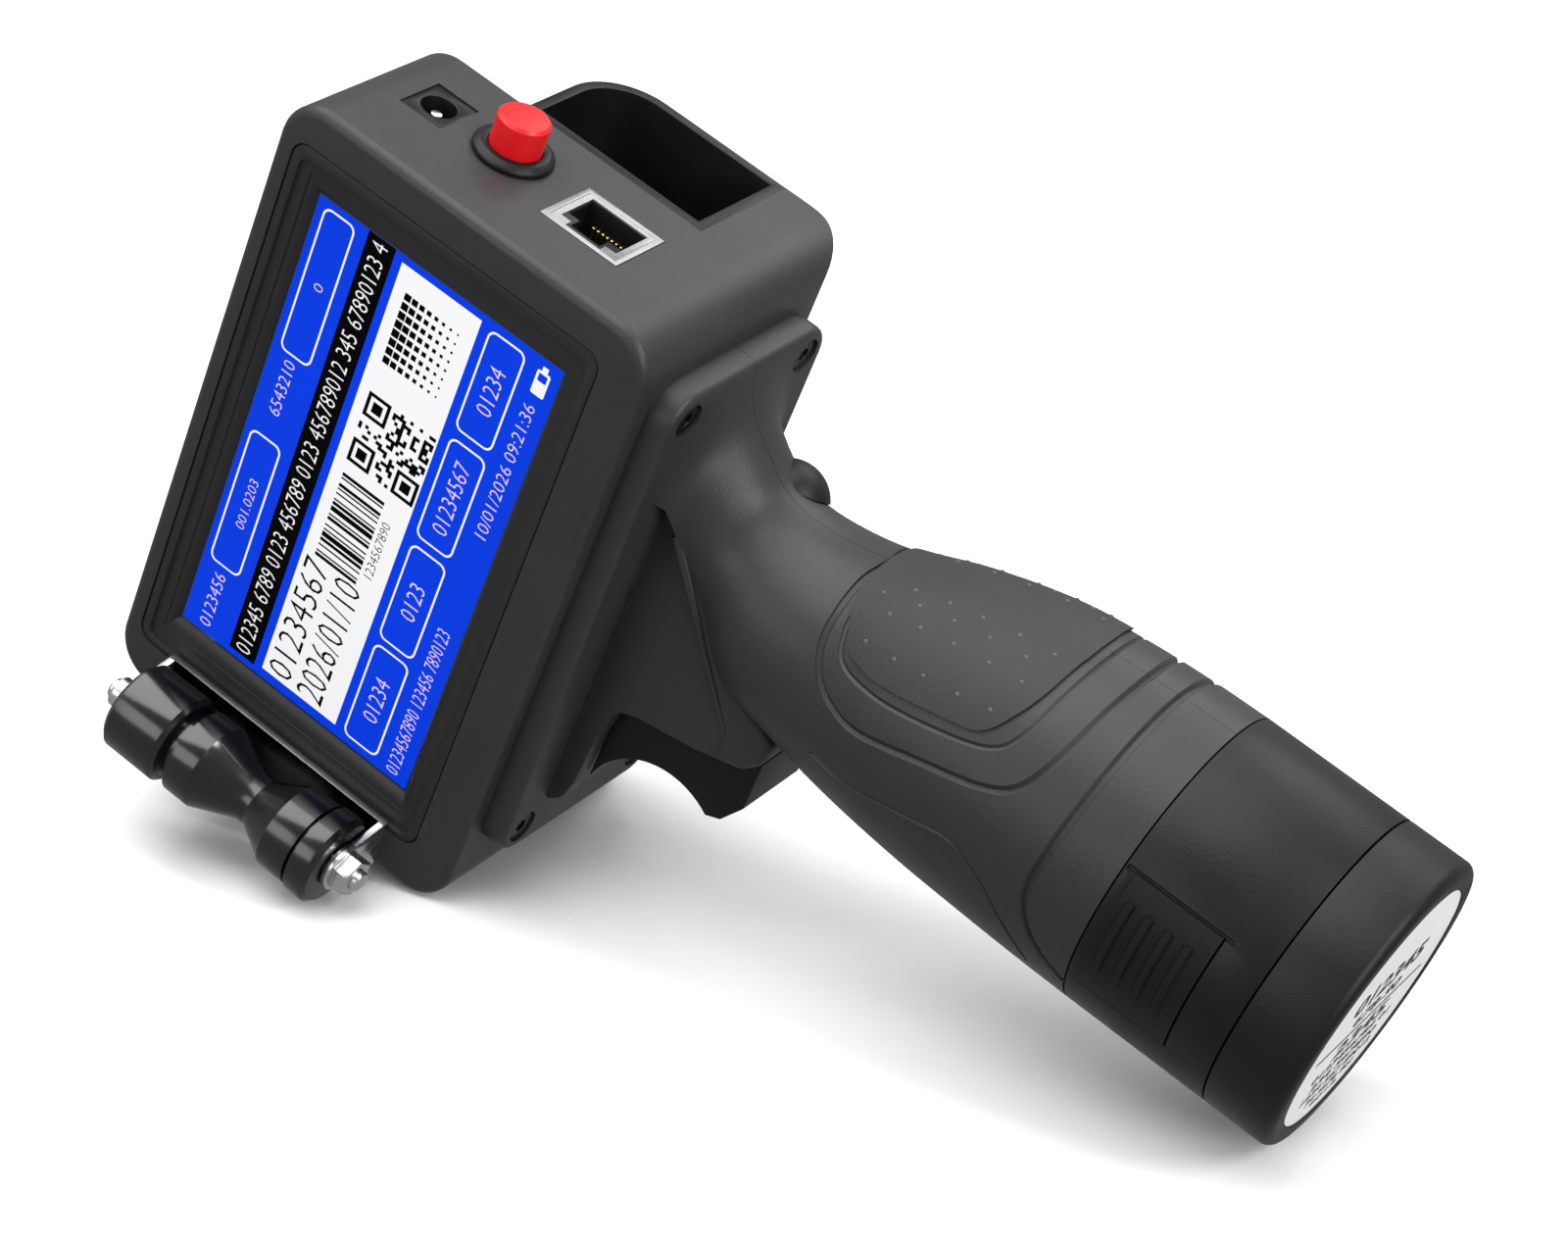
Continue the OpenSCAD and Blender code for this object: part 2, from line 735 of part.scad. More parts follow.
module trigger_spring() color("silver") place() {
    difference() {
        rod_z(43.1, 50.4, plate_x + 24.5, grip_y, 2.4);
        rod_z(43, 51, plate_x + 24.5, grip_y, 1.7);
    }
}

// Battery
dock_pins_y = [grip_y - 9, grip_y, grip_y + 9];

module battery_dock() color([0.12, 0.12, 0.12]) place() {
    difference() {
        rod_x(dock_x + gap, dock_x + 8, grip_y, grip_z, stem_r + slide_gap - 0.2);
        rod_x(dock_x, dock_x + 9, grip_y, grip_z + 12, 4);
        for (y = dock_pins_y)
            block([dock_x, y - 1.5, grip_z - 5], [dock_x + 9, y + 1.5, grip_z + 5]);
    }
}

module dock_contacts() color([0.85, 0.7, 0.3]) place() {
    for (y = dock_pins_y)
        block([dock_x + 1, y - 0.4, grip_z - 5], [dock_x + 7.6, y + 0.4, grip_z + 5]);
}

latch_x0 = battery_x + 2.4;
latch_l = 17;
latch_z0 = grip_z - 11;
latch_z1 = grip_z + 12.5;
latch_t = 2.4;
latch_travel = 1.5;

// Curved tile of the battery wall that the thumb presses
module latch_tile(side, grow) {
    far = grip_y + side * (grip_r + 3);
    near = grip_y + side * (grip_r - 8);
    intersection() {
        block([latch_x0 - grow, min(near, far), latch_z0 - grow],
            [latch_x0 + latch_l + grow, max(near, far), latch_z1 + grow]);
        difference() {
            rod_x(latch_x0 - 5, latch_x0 + latch_l + 5, grip_y, grip_z, grip_r + grow);
            rod_x(latch_x0 - 6, latch_x0 + latch_l + 6, grip_y, grip_z, grip_r - latch_t - grow);
        }
    }
}

module latch(side) {
    difference() {
        latch_tile(side, -0.25);
        for (i = [0 : 3]) {
            x = latch_x0 + 2.6 + 3.6 * i;
            difference() {
                block([x, grip_y + (side > 0 ? 0 : -40), latch_z0 + 3],
                    [x + 1.5, grip_y + (side > 0 ? 40 : 0), latch_z1 - 3]);
                rod_x(x - 1, x + 3, grip_y, grip_z, grip_r - 1);
            }
        }
    }
}

module latch_front() color([0.1, 0.1, 0.1]) place() {
    latch(-1);
}

module latch_rear() color([0.1, 0.1, 0.1]) place() {
    latch(1);
}

spring_seat = tube_r + 1.45;

module latch_spring(side) {
    near = grip_y + side * spring_seat;
    far = grip_y + side * (grip_r - latch_t - 0.25);
    difference() {
        rod_y(min(near, far), max(near, far), latch_x0 + latch_l / 2, grip_z, 2.4);
        rod_y(min(near, far) - 1, max(near, far) + 1, latch_x0 + latch_l / 2, grip_z, 1.8);
    }
}

module latch_spring_front() color("silver") place() {
    latch_spring(-1);
}

module latch_spring_rear() color("silver") place() {
    latch_spring(1);
}

module battery_shell() color([0.12, 0.12, 0.12]) place() {
    inner = grip_r - battery_wall;
    difference() {
        union() {
            rod_x(battery_x, cap_x - gap / 2, grip_y, grip_z, grip_r);
            rod_x(stem_x, battery_x + 1, grip_y, grip_z, stem_r);
        }
        difference() {
            rod_x(battery_x + 2.2, cap_x + 1, grip_y, grip_z, inner);
            rod_x(battery_x + 2, cap_x - 5, grip_y, grip_z, tube_r + 1.4);
        }
        rod_x(stem_x + 2, cap_x + 1, grip_y, grip_z, tube_r);
        for (y = dock_pins_y)
            block([stem_x - 1, y - 2, grip_z - 6], [stem_x + 3, y + 2, grip_z + 6]);
        for (side = [-1, 1])
            latch_tile(side, 0.2);
    }
}

module battery_contacts() color([0.85, 0.7, 0.3]) place() {
    for (y = dock_pins_y)
        block([stem_x + 0.4, y - 1.4, grip_z - 5.4], [stem_x + 2, y + 1.4, grip_z + 5.4]);
}

cell_l = battery_end - battery_wall - stem_x - 3;

module battery_cells() color([0.15, 0.4, 0.55]) place() {
    for (i = [0 : 2])
        rod_x(stem_x + 2.2, stem_x + 2.2 + cell_l,
            grip_y + (2 * cell_r / sqrt(3) + 0.1) * cos(90 + 120 * i),
            grip_z + (2 * cell_r / sqrt(3) + 0.1) * sin(90 + 120 * i), cell_r - 0.05);
}

label_recess = 0.5;

module battery_cap() color([0.12, 0.12, 0.12]) place() {
    difference() {
        union() {
            rod_x(cap_x + gap / 2, battery_end - rim_r, grip_y, grip_z, grip_r);
            translate([battery_end - rim_r, grip_y, grip_z])
                rotate([0, 90, 0])
                    rotate_extrude() {
                        square([grip_r - rim_r, rim_r]);
                        translate([grip_r - rim_r, 0])
                            intersection() {
                                circle(r = rim_r);
                                square(rim_r);
                            }
                    }
        }
        rod_x(cap_x, battery_end - battery_wall - label_recess, grip_y, grip_z, grip_r - battery_wall);
        rod_x(battery_end - label_recess, battery_end + 1, grip_y, grip_z, label_r + 0.2);
    }
}

module battery_label() color("white") place() {
    rod_x(battery_end - label_recess, battery_end - label_recess + 0.3, grip_y, grip_z, label_r);
}

// Guide roller
ear_r = 4.6;

module ear(x0) {
    ear_top = z_low + 10.7;
    translate([x0, 0, 0])
        rotate([90, 0, 90])
            linear_extrude(sheet_t)
                polygon([[y_front, z_low + 0.4], [y_front, ear_top],
                    [axle_y + ear_r * sin(25), axle_z + ear_r * cos(25)],
                    [axle_y - ear_r * sin(5), axle_z - ear_r * cos(5)]]);
    rod_x(x0, x0 + sheet_t, axle_y, axle_z, ear_r);
}

module roller_bracket() color([0.75, 0.76, 0.78]) place() {
    difference() {
        union() {
            block([bracket_x0, y_front - sheet_t, z_low + 0.4], [bracket_x1, y_front, z_low + 10.7]);
            ear(bracket_x0);
            ear(bracket_x1 - sheet_t);
        }
        rod_x(bracket_x0 - 1, bracket_x1 + 1, axle_y, axle_z, axle_r + 0.02);
        for (x = bracket_screw_x)
            rod_y(y_front - 3, y_front + 1, x, bracket_screw_z, head_r + 0.1);
    }
}

module bracket_screws() color("silver") place() {
    for (x = bracket_screw_x) {
        rod_y(y_front - sheet_t, y_front + wall + 2, x, bracket_screw_z, pilot_r);
        rod_y(y_front - sheet_t, y_front, x, bracket_screw_z, head_r);
    }
}

module roller_axle() color("silver") place() {
    rod_x(bracket_x0 - 3.6, bracket_x1 + 4.4, axle_y, axle_z, axle_r);
}

module axle_nuts() color("silver") place() {
    difference() {
        union() {
            translate([bracket_x1, axle_y, axle_z]) rotate([0, 90, 0]) cylinder(r = 4, h = 3.2, $fn = 6);
            rod_x(bracket_x0 - 2.4, bracket_x0, axle_y, axle_z, 3);
        }
        rod_x(bracket_x0 - 4, bracket_x1 + 5, axle_y, axle_z, axle_r + 0.02);
    }
}

// Roller pieces, each measured from the left end of the roller
left_wheel_l = 12.2;
neck_l = 2.7;
rim_l = 5.1;
waist_at = 30;
right_rim_at = 37.7;
right_neck_at = 43.6;
right_wheel_at = 44.5;

module wheel(x0, x1, chamfer_left, chamfer_right) {
    c = wheel_chamfer;
    cone_x(x0, x0 + c, axle_y, axle_z, wheel_r - (chamfer_left ? c : 0), wheel_r);
    rod_x(x0 + c - eps, x1 - c + eps, axle_y, axle_z, wheel_r);
    cone_x(x1 - c, x1, axle_y, axle_z, wheel_r, wheel_r - (chamfer_right ? c : 0));
}

module left_wheel() color([0.07, 0.07, 0.07]) place() {
    difference() {
        wheel(roller_x, roller_x + left_wheel_l, true, true);
        rod_x(roller_x - 1, roller_x + left_wheel_l + 1, axle_y, axle_z, axle_r + run_gap);
    }
}

module waist_roller() color([0.1, 0.1, 0.1]) place() {
    end_x = roller_x + right_wheel_at;
    rim_x = roller_x + left_wheel_l + neck_l;
    difference() {
        union() {
            rod_x(roller_x + left_wheel_l, end_x, axle_y, axle_z, waist_r);
            rod_x(roller_x + left_wheel_l, rim_x + eps, axle_y, axle_z, wheel_r - 2.4);
            rod_x(rim_x, rim_x + rim_l, axle_y, axle_z, wheel_r - 0.4);
            cone_x(rim_x + rim_l - eps, roller_x + waist_at - 1, axle_y, axle_z, wheel_r - 0.4, waist_r);
            cone_x(roller_x + waist_at + 1, roller_x + right_rim_at + eps, axle_y, axle_z, waist_r, wheel_r - 0.4);
            rod_x(roller_x + right_rim_at, roller_x + right_neck_at, axle_y, axle_z, wheel_r - 0.4);
            rod_x(roller_x + right_neck_at - eps, end_x, axle_y, axle_z, wheel_r - 1.6);
        }
        rod_x(roller_x, end_x + 1, axle_y, axle_z, axle_r + run_gap);
    }
}

module right_wheel() color([0.07, 0.07, 0.07]) place() {
    difference() {
        wheel(roller_x + right_wheel_at, roller_x + roller_l, false, true);
        rod_x(roller_x, roller_x + roller_l + 1, axle_y, axle_z, axle_r + run_gap);
    }
}

main_housing();
rear_cover();
cover_screws();
screen_bezel();
touch_glass();
display_module();
main_board();
power_inlet();
inlet_pin();
button_collar();
button_nut();
power_button();
button_spring();
button_switch();
network_socket();
network_insert();
network_contacts();
cartridge_bay();
contact_board();
contact_pins();
ink_cartridge();
nozzle_plate();
face_plate();
face_screws();
grip_front();
grip_rear();
plate_screws();
grip_screws();
grip_pad();
thumb_lobe();
trigger();
trigger_pin();
trigger_spring();
trigger_switch();
battery_dock();
dock_contacts();
battery_shell();
battery_cap();
battery_label();
battery_cells();
battery_contacts();
latch_front();
latch_rear();
latch_spring_front();
latch_spring_rear();
roller_bracket();
bracket_screws();
roller_axle();
axle_nuts();
left_wheel();
waist_roller();
right_wheel();
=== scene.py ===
import bpy, json, math
from mathutils import Matrix, Vector

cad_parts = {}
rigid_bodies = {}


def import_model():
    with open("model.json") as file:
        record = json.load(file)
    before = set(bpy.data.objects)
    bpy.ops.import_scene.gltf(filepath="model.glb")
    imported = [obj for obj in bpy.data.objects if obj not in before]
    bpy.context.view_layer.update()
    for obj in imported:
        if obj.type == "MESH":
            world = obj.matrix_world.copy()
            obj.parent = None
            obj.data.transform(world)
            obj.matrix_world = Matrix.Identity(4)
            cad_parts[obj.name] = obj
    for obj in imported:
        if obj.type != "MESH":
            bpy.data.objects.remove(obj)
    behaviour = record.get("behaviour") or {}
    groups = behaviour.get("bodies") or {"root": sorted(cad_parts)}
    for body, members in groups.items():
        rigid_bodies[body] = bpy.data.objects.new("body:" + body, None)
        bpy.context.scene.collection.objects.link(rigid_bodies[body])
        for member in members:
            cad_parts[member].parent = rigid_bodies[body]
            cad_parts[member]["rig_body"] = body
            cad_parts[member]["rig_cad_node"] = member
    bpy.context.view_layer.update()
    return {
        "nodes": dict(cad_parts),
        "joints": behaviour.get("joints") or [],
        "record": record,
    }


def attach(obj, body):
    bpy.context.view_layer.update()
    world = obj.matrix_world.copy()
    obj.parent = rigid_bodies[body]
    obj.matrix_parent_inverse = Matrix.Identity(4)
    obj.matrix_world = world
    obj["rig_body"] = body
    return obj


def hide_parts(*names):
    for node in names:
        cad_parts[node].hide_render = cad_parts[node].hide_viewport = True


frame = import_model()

bodyOf = {n: b for b, names in frame["record"]["behaviour"]["bodies"].items() for n in names}
slotOf = {s["node"]: s["material_slot"] for s in frame["record"]["subparts"]}
joints = {j["name"]: j for j in frame["joints"]}
mounts = {m["name"]: m for m in frame["record"]["mounts"]}

# The printer leans on the ground. Pieces are modelled upright in its own millimetres, then placed:
# x to the grip end, y to the back, z to the sockets, zero at the lower left of the lit screen, on the glass.
upright = Vector(joints["cartridge_slide"]["axis"])
inletSpot = Vector((5.5, 18.4, 110.8)) / 1000
lean = Matrix.Rotation(math.atan2(upright.x, upright.z), 4, "Y")
origin = Vector(mounts["power_port"]["pos_m"]) - lean @ inletSpot
place = Matrix.Translation(origin) @ lean @ Matrix.Scale(0.001, 4)

body = {"left": -10.2, "right": 69.2, "low": -17.2, "top": 110.8, "front": -2.5, "rear": 59.3}
print("frame loaded, lean %.2f degrees" % math.degrees(math.atan2(upright.x, upright.z)))


# Small helpers for modelling
def clearSelection():
    if bpy.context.object and bpy.context.object.mode != "OBJECT":
        bpy.ops.object.mode_set(mode="OBJECT")
    bpy.ops.object.select_all(action="DESELECT")


def activate(obj):
    clearSelection()
    obj.select_set(True)
    bpy.context.view_layer.objects.active = obj


def addBlock(name, low, high):
    clearSelection()
    centre = [(a + b) / 2 for a, b in zip(low, high)]
    bpy.ops.mesh.primitive_cube_add(size=1, location=centre, scale=[b - a for a, b in zip(low, high)])
    obj = bpy.context.object
    obj.name = name
    bpy.ops.object.transform_apply(location=True, rotation=True, scale=True)
    return obj


def addRod(name, centre, radius, length, axis="X", sides=64, tip=None):
    clearSelection()
    turn = {"X": (0, math.pi / 2, 0), "Y": (-math.pi / 2, 0, 0), "Z": (0, 0, 0)}[axis]
    bpy.ops.mesh.primitive_cone_add(vertices=sides, radius1=radius, radius2=radius if tip is None else tip,
                                    depth=length, location=centre, rotation=turn)
    obj = bpy.context.object
    obj.name = name
    bpy.ops.object.transform_apply(location=True, rotation=True, scale=True)
    return obj


def pick(obj, test, kind="EDGE"):
    # Leaves obj in edit mode with the edges or faces chosen that pass the test
    activate(obj)
    bpy.ops.object.mode_set(mode="EDIT")
    bpy.ops.mesh.select_mode(type=kind)
    bpy.ops.mesh.select_all(action="DESELECT")
    bpy.ops.object.mode_set(mode="OBJECT")
    mesh = obj.data
    if kind == "EDGE":
        for e in mesh.edges:
            a, b = (mesh.vertices[i].co for i in e.vertices)
            e.select = test(a, b)
    else:
        for f in mesh.polygons:
            f.select = test(f.center, f.normal)
    bpy.ops.object.mode_set(mode="EDIT")


def bevelPicked(width, segments):
    bpy.ops.mesh.bevel(offset=width, offset_type="OFFSET", segments=segments, profile=0.5, affect="EDGES")
    bpy.ops.object.mode_set(mode="OBJECT")


def roundedBlock(name, low, high, radius, segments=8, axis="y"):
    # A block with four round corners, seen along axis
    obj = addBlock(name, low, high)
    i = "xyz".index(axis)
    span = high[i] - low[i]
    pick(obj, lambda a, b: abs(abs(a[i] - b[i]) - span) < 1e-4)
    bevelPicked(radius, segments)
    return obj


def applyModifier(obj, kind, **settings):
    activate(obj)
    mod = obj.modifiers.new(kind.title(), kind)
    for key, value in settings.items():
        setattr(mod, key, value)
    bpy.ops.object.modifier_apply(modifier=mod.name)


def soften(obj, width, segments=2, angle=28):
    applyModifier(obj, "BEVEL", width=width, segments=segments, limit_method="ANGLE", angle_limit=math.radians(angle))


def combine(obj, tool, how):
    applyModifier(obj, "BOOLEAN", operation=how, object=tool, solver="EXACT")
    bpy.data.objects.remove(tool)
    return obj


def closeUp(obj):
    # Merges seams and turns all faces outwards
    activate(obj)
    bpy.ops.object.mode_set(mode="EDIT")
    bpy.ops.mesh.select_all(action="SELECT")
    bpy.ops.mesh.remove_doubles(threshold=0.002)
    bpy.ops.mesh.normals_make_consistent(inside=False)
    bpy.ops.object.mode_set(mode="OBJECT")
    return obj


def join(name, pieces):
    clearSelection()
    for p in pieces:
        p.select_set(True)
    bpy.context.view_layer.objects.active = pieces[0]
    if len(pieces) > 1:
        bpy.ops.object.join()
    bpy.ops.object.transform_apply(location=True, rotation=True, scale=True)
    pieces[0].name = name
    return pieces[0]


def cadCopy(node):
    # A merged copy of a CAD node, upright in printer millimetres
    source = frame["nodes"][node]
    obj = source.copy()
    obj.data = source.data.copy()
    obj.parent = None
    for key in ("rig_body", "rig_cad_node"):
        if key in obj:
            del obj[key]
    bpy.context.scene.collection.objects.link(obj)
    obj.data.transform(place.inverted())
    obj.data.materials.clear()
    activate(obj)
    bpy.ops.mesh.customdata_custom_splitnormals_clear()
    bpy.ops.object.mode_set(mode="EDIT")
    bpy.ops.mesh.select_all(action="SELECT")
    bpy.ops.mesh.remove_doubles(threshold=0.002)
    bpy.ops.mesh.dissolve_limited(angle_limit=math.radians(0.5))
    bpy.ops.object.mode_set(mode="OBJECT")
    return obj


def finishPiece(obj, name, nodes, materials, angle=35, bodyName=None):
    # Smooths, places, paints and hands a piece to its body
    activate(obj)
    bpy.ops.object.shade_smooth_by_angle(angle=math.radians(angle))
    obj.data.transform(place)
    obj.data.update()
    obj.name = name
    obj.data.name = name
    for m in materials if isinstance(materials, list) else [materials]:
        obj.data.materials.append(m)
    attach(obj, bodyName or bodyOf[nodes[0]])
    if nodes:
        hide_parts(*nodes)
    return obj


# Materials
def newMaterial(name):
    mat = bpy.data.materials.new(name)
    mat.use_nodes = True
    tree = mat.node_tree
    shader = tree.nodes["Principled BSDF"]
    return mat, tree, shader


def addNoise(tree, scale, detail=3.0, stretch=(1, 1, 1), turn=0.0):
    where = tree.nodes.new("ShaderNodeTexCoord")
    fit = tree.nodes.new("ShaderNodeMapping")
    fit.inputs["Scale"].default_value = stretch
    fit.inputs["Rotation"].default_value = (0, turn, 0)
    noise = tree.nodes.new("ShaderNodeTexNoise")
    noise.inputs["Scale"].default_value = scale
    noise.inputs["Detail"].default_value = detail
    noise.inputs["Roughness"].default_value = 0.55
    tree.links.new(where.outputs["Object"], fit.inputs["Vector"])
    tree.links.new(fit.outputs["Vector"], noise.inputs["Vector"])
    return noise.outputs["Fac"]


def addRange(tree, source, low, high):
    node = tree.nodes.new("ShaderNodeMapRange")
    node.inputs["From Min"].default_value = 0.3
    node.inputs["From Max"].default_value = 0.7
    node.inputs["To Min"].default_value = low
    node.inputs["To Max"].default_value = high
    tree.links.new(source, node.inputs["Value"])
    return node.outputs["Result"]


def tint(tree, shader, source, dark, light):
    ramp = tree.nodes.new("ShaderNodeValToRGB")
    ramp.color_ramp.elements[0].position = 0.3
    ramp.color_ramp.elements[1].position = 0.7
    ramp.color_ramp.elements[0].color = (*dark, 1)
    ramp.color_ramp.elements[1].color = (*light, 1)
    tree.links.new(source, ramp.inputs["Fac"])
    tree.links.new(ramp.outputs["Color"], shader.inputs["Base Color"])


def addBump(tree, shader, source, strength, distance):
    bump = tree.nodes.new("ShaderNodeBump")
    bump.inputs["Strength"].default_value = strength
    bump.inputs["Distance"].default_value = distance
    tree.links.new(source, bump.inputs["Height"])
    tree.links.new(bump.outputs["Normal"], shader.inputs["Normal"])


def mouldedPlastic(name, colour, spread, rough, grain, bump, coat=0.0, level=0.5):
    # Moulded plastic: fine grain, faint handling marks in the gloss
    mat, tree, shader = newMaterial(name)
    cloud = addNoise(tree, 55, 3)
    fine = addNoise(tree, grain, 2)
    tint(tree, shader, cloud, [c * (1 - spread) for c in colour], [c * (1 + spread) for c in colour])
    tree.links.new(addRange(tree, cloud, rough - 0.05, rough + 0.06), shader.inputs["Roughness"])
    addBump(tree, shader, fine, bump, 0.0002)
    shader.inputs["Coat Weight"].default_value = coat
    shader.inputs["Coat Roughness"].default_value = 0.25
    shader.inputs["Specular IOR Level"].default_value = level
    return mat


def workedMetal(name, colour, rough, stretch, turn, bump=0.15, scale=900):
    # Sheet or turned metal: brush marks along the stretch, slightly uneven gloss
    mat, tree, shader = newMaterial(name)
    marks = addNoise(tree, scale, 2, stretch, turn)
    cloud = addNoise(tree, 90, 3)
    tint(tree, shader, cloud, [c * 0.88 for c in colour], colour)
    shader.inputs["Metallic"].default_value = 1.0
    tree.links.new(addRange(tree, marks, rough - 0.06, rough + 0.08), shader.inputs["Roughness"])
    addBump(tree, shader, marks, bump, 0.0001)
    return mat


def litPicture(name, colour, strength):
    # Screen ink lit from behind, with a faint unevenness of the backlight
    mat, tree, shader = newMaterial(name)
    cloud = addNoise(tree, 14, 2)
    shader.inputs["Roughness"].default_value = 0.35
    shader.inputs["Specular IOR Level"].default_value = 0.04
    tint(tree, shader, cloud, [c * 0.1 for c in colour], [c * 0.14 for c in colour])
    glow = tree.nodes.new("ShaderNodeValToRGB")
    glow.color_ramp.elements[0].color = (*[c * 0.94 for c in colour], 1)
    glow.color_ramp.elements[1].color = (*colour, 1)
    tree.links.new(cloud, glow.inputs["Fac"])
    tree.links.new(glow.outputs["Color"], shader.inputs["Emission Color"])
    shader.inputs["Emission Strength"].default_value = strength
    return mat


leanAngle = math.atan2(upright.x, upright.z)
paint = {
    "grey_case": mouldedPlastic("caseGrey", (0.026, 0.026, 0.0265), 0.05, 0.42, 2600, 0.25, 0.0, 0.3),
    "dark_trim": mouldedPlastic("trimGrey", (0.017, 0.017, 0.017), 0.06, 0.42, 2600, 0.25, 0.0, 0.3),
    "black_plastic": mouldedPlastic("blackPlastic", (0.0045, 0.0045, 0.0045), 0.1, 0.38, 2200, 0.2, 0.0, 0.22),
    "battery_black": mouldedPlastic("batteryBlack", (0.0065, 0.0065, 0.0067), 0.06, 0.42, 2600, 0.25, 0.0, 0.22),
    "screen_glass": mouldedPlastic("screenGlass", (0.01, 0.03, 0.1), 0.05, 0.12, 800, 0.02, 0.3),
    "display_metal": workedMetal("displayMetal", (0.7, 0.7, 0.72), 0.35, (1, 1, 20), leanAngle),
    "circuit_green": mouldedPlastic("circuitGreen", (0.01, 0.09, 0.03), 0.25, 0.35, 600, 0.3, 0.3),
    "steel": workedMetal("plainSteel", (0.36, 0.36, 0.37), 0.42, (1, 1, 12), leanAngle),
    "bright_steel": workedMetal("brightSteel", (0.7, 0.7, 0.71), 0.24, (0.05, 1, 1), leanAngle, 0.03),
    "black_steel": workedMetal("blackSteel", (0.03, 0.03, 0.032), 0.33, (1, 1, 1), 0.0, 0.2, 600),
    "contact_gold": workedMetal("contactGold", (0.9, 0.66, 0.25), 0.25, (1, 1, 8), leanAngle),
    "red_cap": mouldedPlastic("redCap", (0.6, 0.007, 0.009), 0.08, 0.36, 1800, 0.1, 0.0, 0.28),
    "grip_rubber": mouldedPlastic("gripRubber", (0.027, 0.027, 0.0275), 0.06, 0.55, 1700, 0.4, 0.0, 0.25),
    "black_rubber": mouldedPlastic("blackRubber", (0.006, 0.006, 0.006), 0.08, 0.45, 1900, 0.3, 0.0, 0.25),
    "roller_black": mouldedPlastic("rollerBlack", (0.003, 0.003, 0.003), 0.1, 0.2, 1200, 0.04, 0.0, 0.7),
    "cartridge_black": mouldedPlastic("cartridgeBlack", (0.01, 0.01, 0.0105), 0.08, 0.4, 2000, 0.25, 0.0, 0.3),
    "label_white": mouldedPlastic("labelWhite", (0.86, 0.86, 0.85), 0.02, 0.45, 1500, 0.05),
    "cell_wrap": mouldedPlastic("cellWrap", (0.02, 0.13, 0.22), 0.12, 0.3, 700, 0.1, 0.3),
}
for node, obj in frame["nodes"].items():
    obj.data.materials.clear()
    obj.data.materials.append(paint[slotOf[node]])
print("materials painted on %d CAD nodes" % len(frame["nodes"]))


# Camera, light and floor
camera = {"place": (0.33185, -0.51637, 0.36925), "lens": 93.53,
          "right": (0.83584, 0.54802, 0.03232), "up": (-0.26905, 0.35762, 0.89427),
          "back": (0.47853, -0.75616, 0.44636)}
bpy.ops.object.camera_add(location=camera["place"])
cam = bpy.context.object
cam.name = "camera"
turn = Matrix((camera["right"], camera["up"], camera["back"])).transposed()
cam.rotation_mode = "QUATERNION"
cam.rotation_quaternion = turn.to_quaternion()
cam.data.lens = camera["lens"]
cam.data.sensor_width = 36
cam.data.clip_start = 0.01
cam.data.clip_end = 20
bpy.context.scene.camera = cam


def addSoftLight(name, spot, target, size, power):
    bpy.ops.object.light_add(type="AREA", location=spot)
    lamp = bpy.context.object
    lamp.name = name
    lamp.data.shape = "RECTANGLE"
    lamp.data.size, lamp.data.size_y = size
    lamp.data.energy = power
    lamp.rotation_mode = "QUATERNION"
    lamp.rotation_quaternion = (Vector(target) - Vector(spot)).to_track_quat("-Z", "Y")
    return lamp


lights = {"top": ((-0.2, -0.05, 1.0), (0, 0, 0.05), (1.1, 1.1), 16.5),
          "front": ((-0.35, -1.0, 0.5), (0, 0, 0.06), (0.7, 0.5), 3.0),
          "side": ((1.1, -0.45, 0.35), (0.05, 0, 0.05), (0.4, 0.5), 6.5),
          "neck": ((0.9, 0.03, 0.66), (0, 0, 0.09), (0.22, 0.4), 5.5),
          "back": ((0.2, 0.9, 0.8), (0, 0, 0.05), (0.9, 0.6), 5.0)}
studio = {"glow": 0.36, "floorSize": 8, "floorHeight": -0.0005, "floorRough": 0.24,
          "floorDark": (0.9, 0.9, 0.9), "floorLight": (0.93, 0.93, 0.93)}
for name, (spot, target, size, power) in lights.items():
    addSoftLight(name + "Light", spot, target, size, power)
world = bpy.data.worlds.new("studio")
bpy.context.scene.world = world
world.use_nodes = True
world.node_tree.nodes["Background"].inputs["Color"].default_value = (1, 1, 1, 1)
world.node_tree.nodes["Background"].inputs["Strength"].default_value = studio["glow"]
bpy.context.scene.view_settings.view_transform = "Standard"

clearSelection()
bpy.ops.mesh.primitive_plane_add(size=studio["floorSize"], location=(0, 0, studio["floorHeight"]))
floor = bpy.context.object
floor.name = "floor"
floorMat, tree, shader = newMaterial("paleFloor")
shader.inputs["Roughness"].default_value = studio["floorRough"]
tint(tree, shader, addNoise(tree, 2), studio["floorDark"], studio["floorLight"])
floor.data.materials.append(floorMat)
floor.visible_diffuse = False
floor.visible_glossy = False
print("camera, lights and floor made")


# Screen box
caseCuts = {"frontEdge": 2.0, "cornerRadius": 8.5, "skin": 0.02}
case = cadCopy("main_housing")
envelope = roundedBlock("envelope",
                        [body[side] - caseCuts["skin"] for side in ("left", "front", "low")],
                        [body[side] + caseCuts["skin"] for side in ("right", "rear", "top")],
                        caseCuts["cornerRadius"], 18)
front = body["front"] - caseCuts["skin"]
pick(envelope, lambda a, b: abs(a.y - front) < 1e-4 and abs(b.y - front) < 1e-4)
bevelPicked(caseCuts["frontEdge"], 5)
combine(case, envelope, "INTERSECT")
finishPiece(case, "caseShell", ["main_housing"], paint["grey_case"], 30)

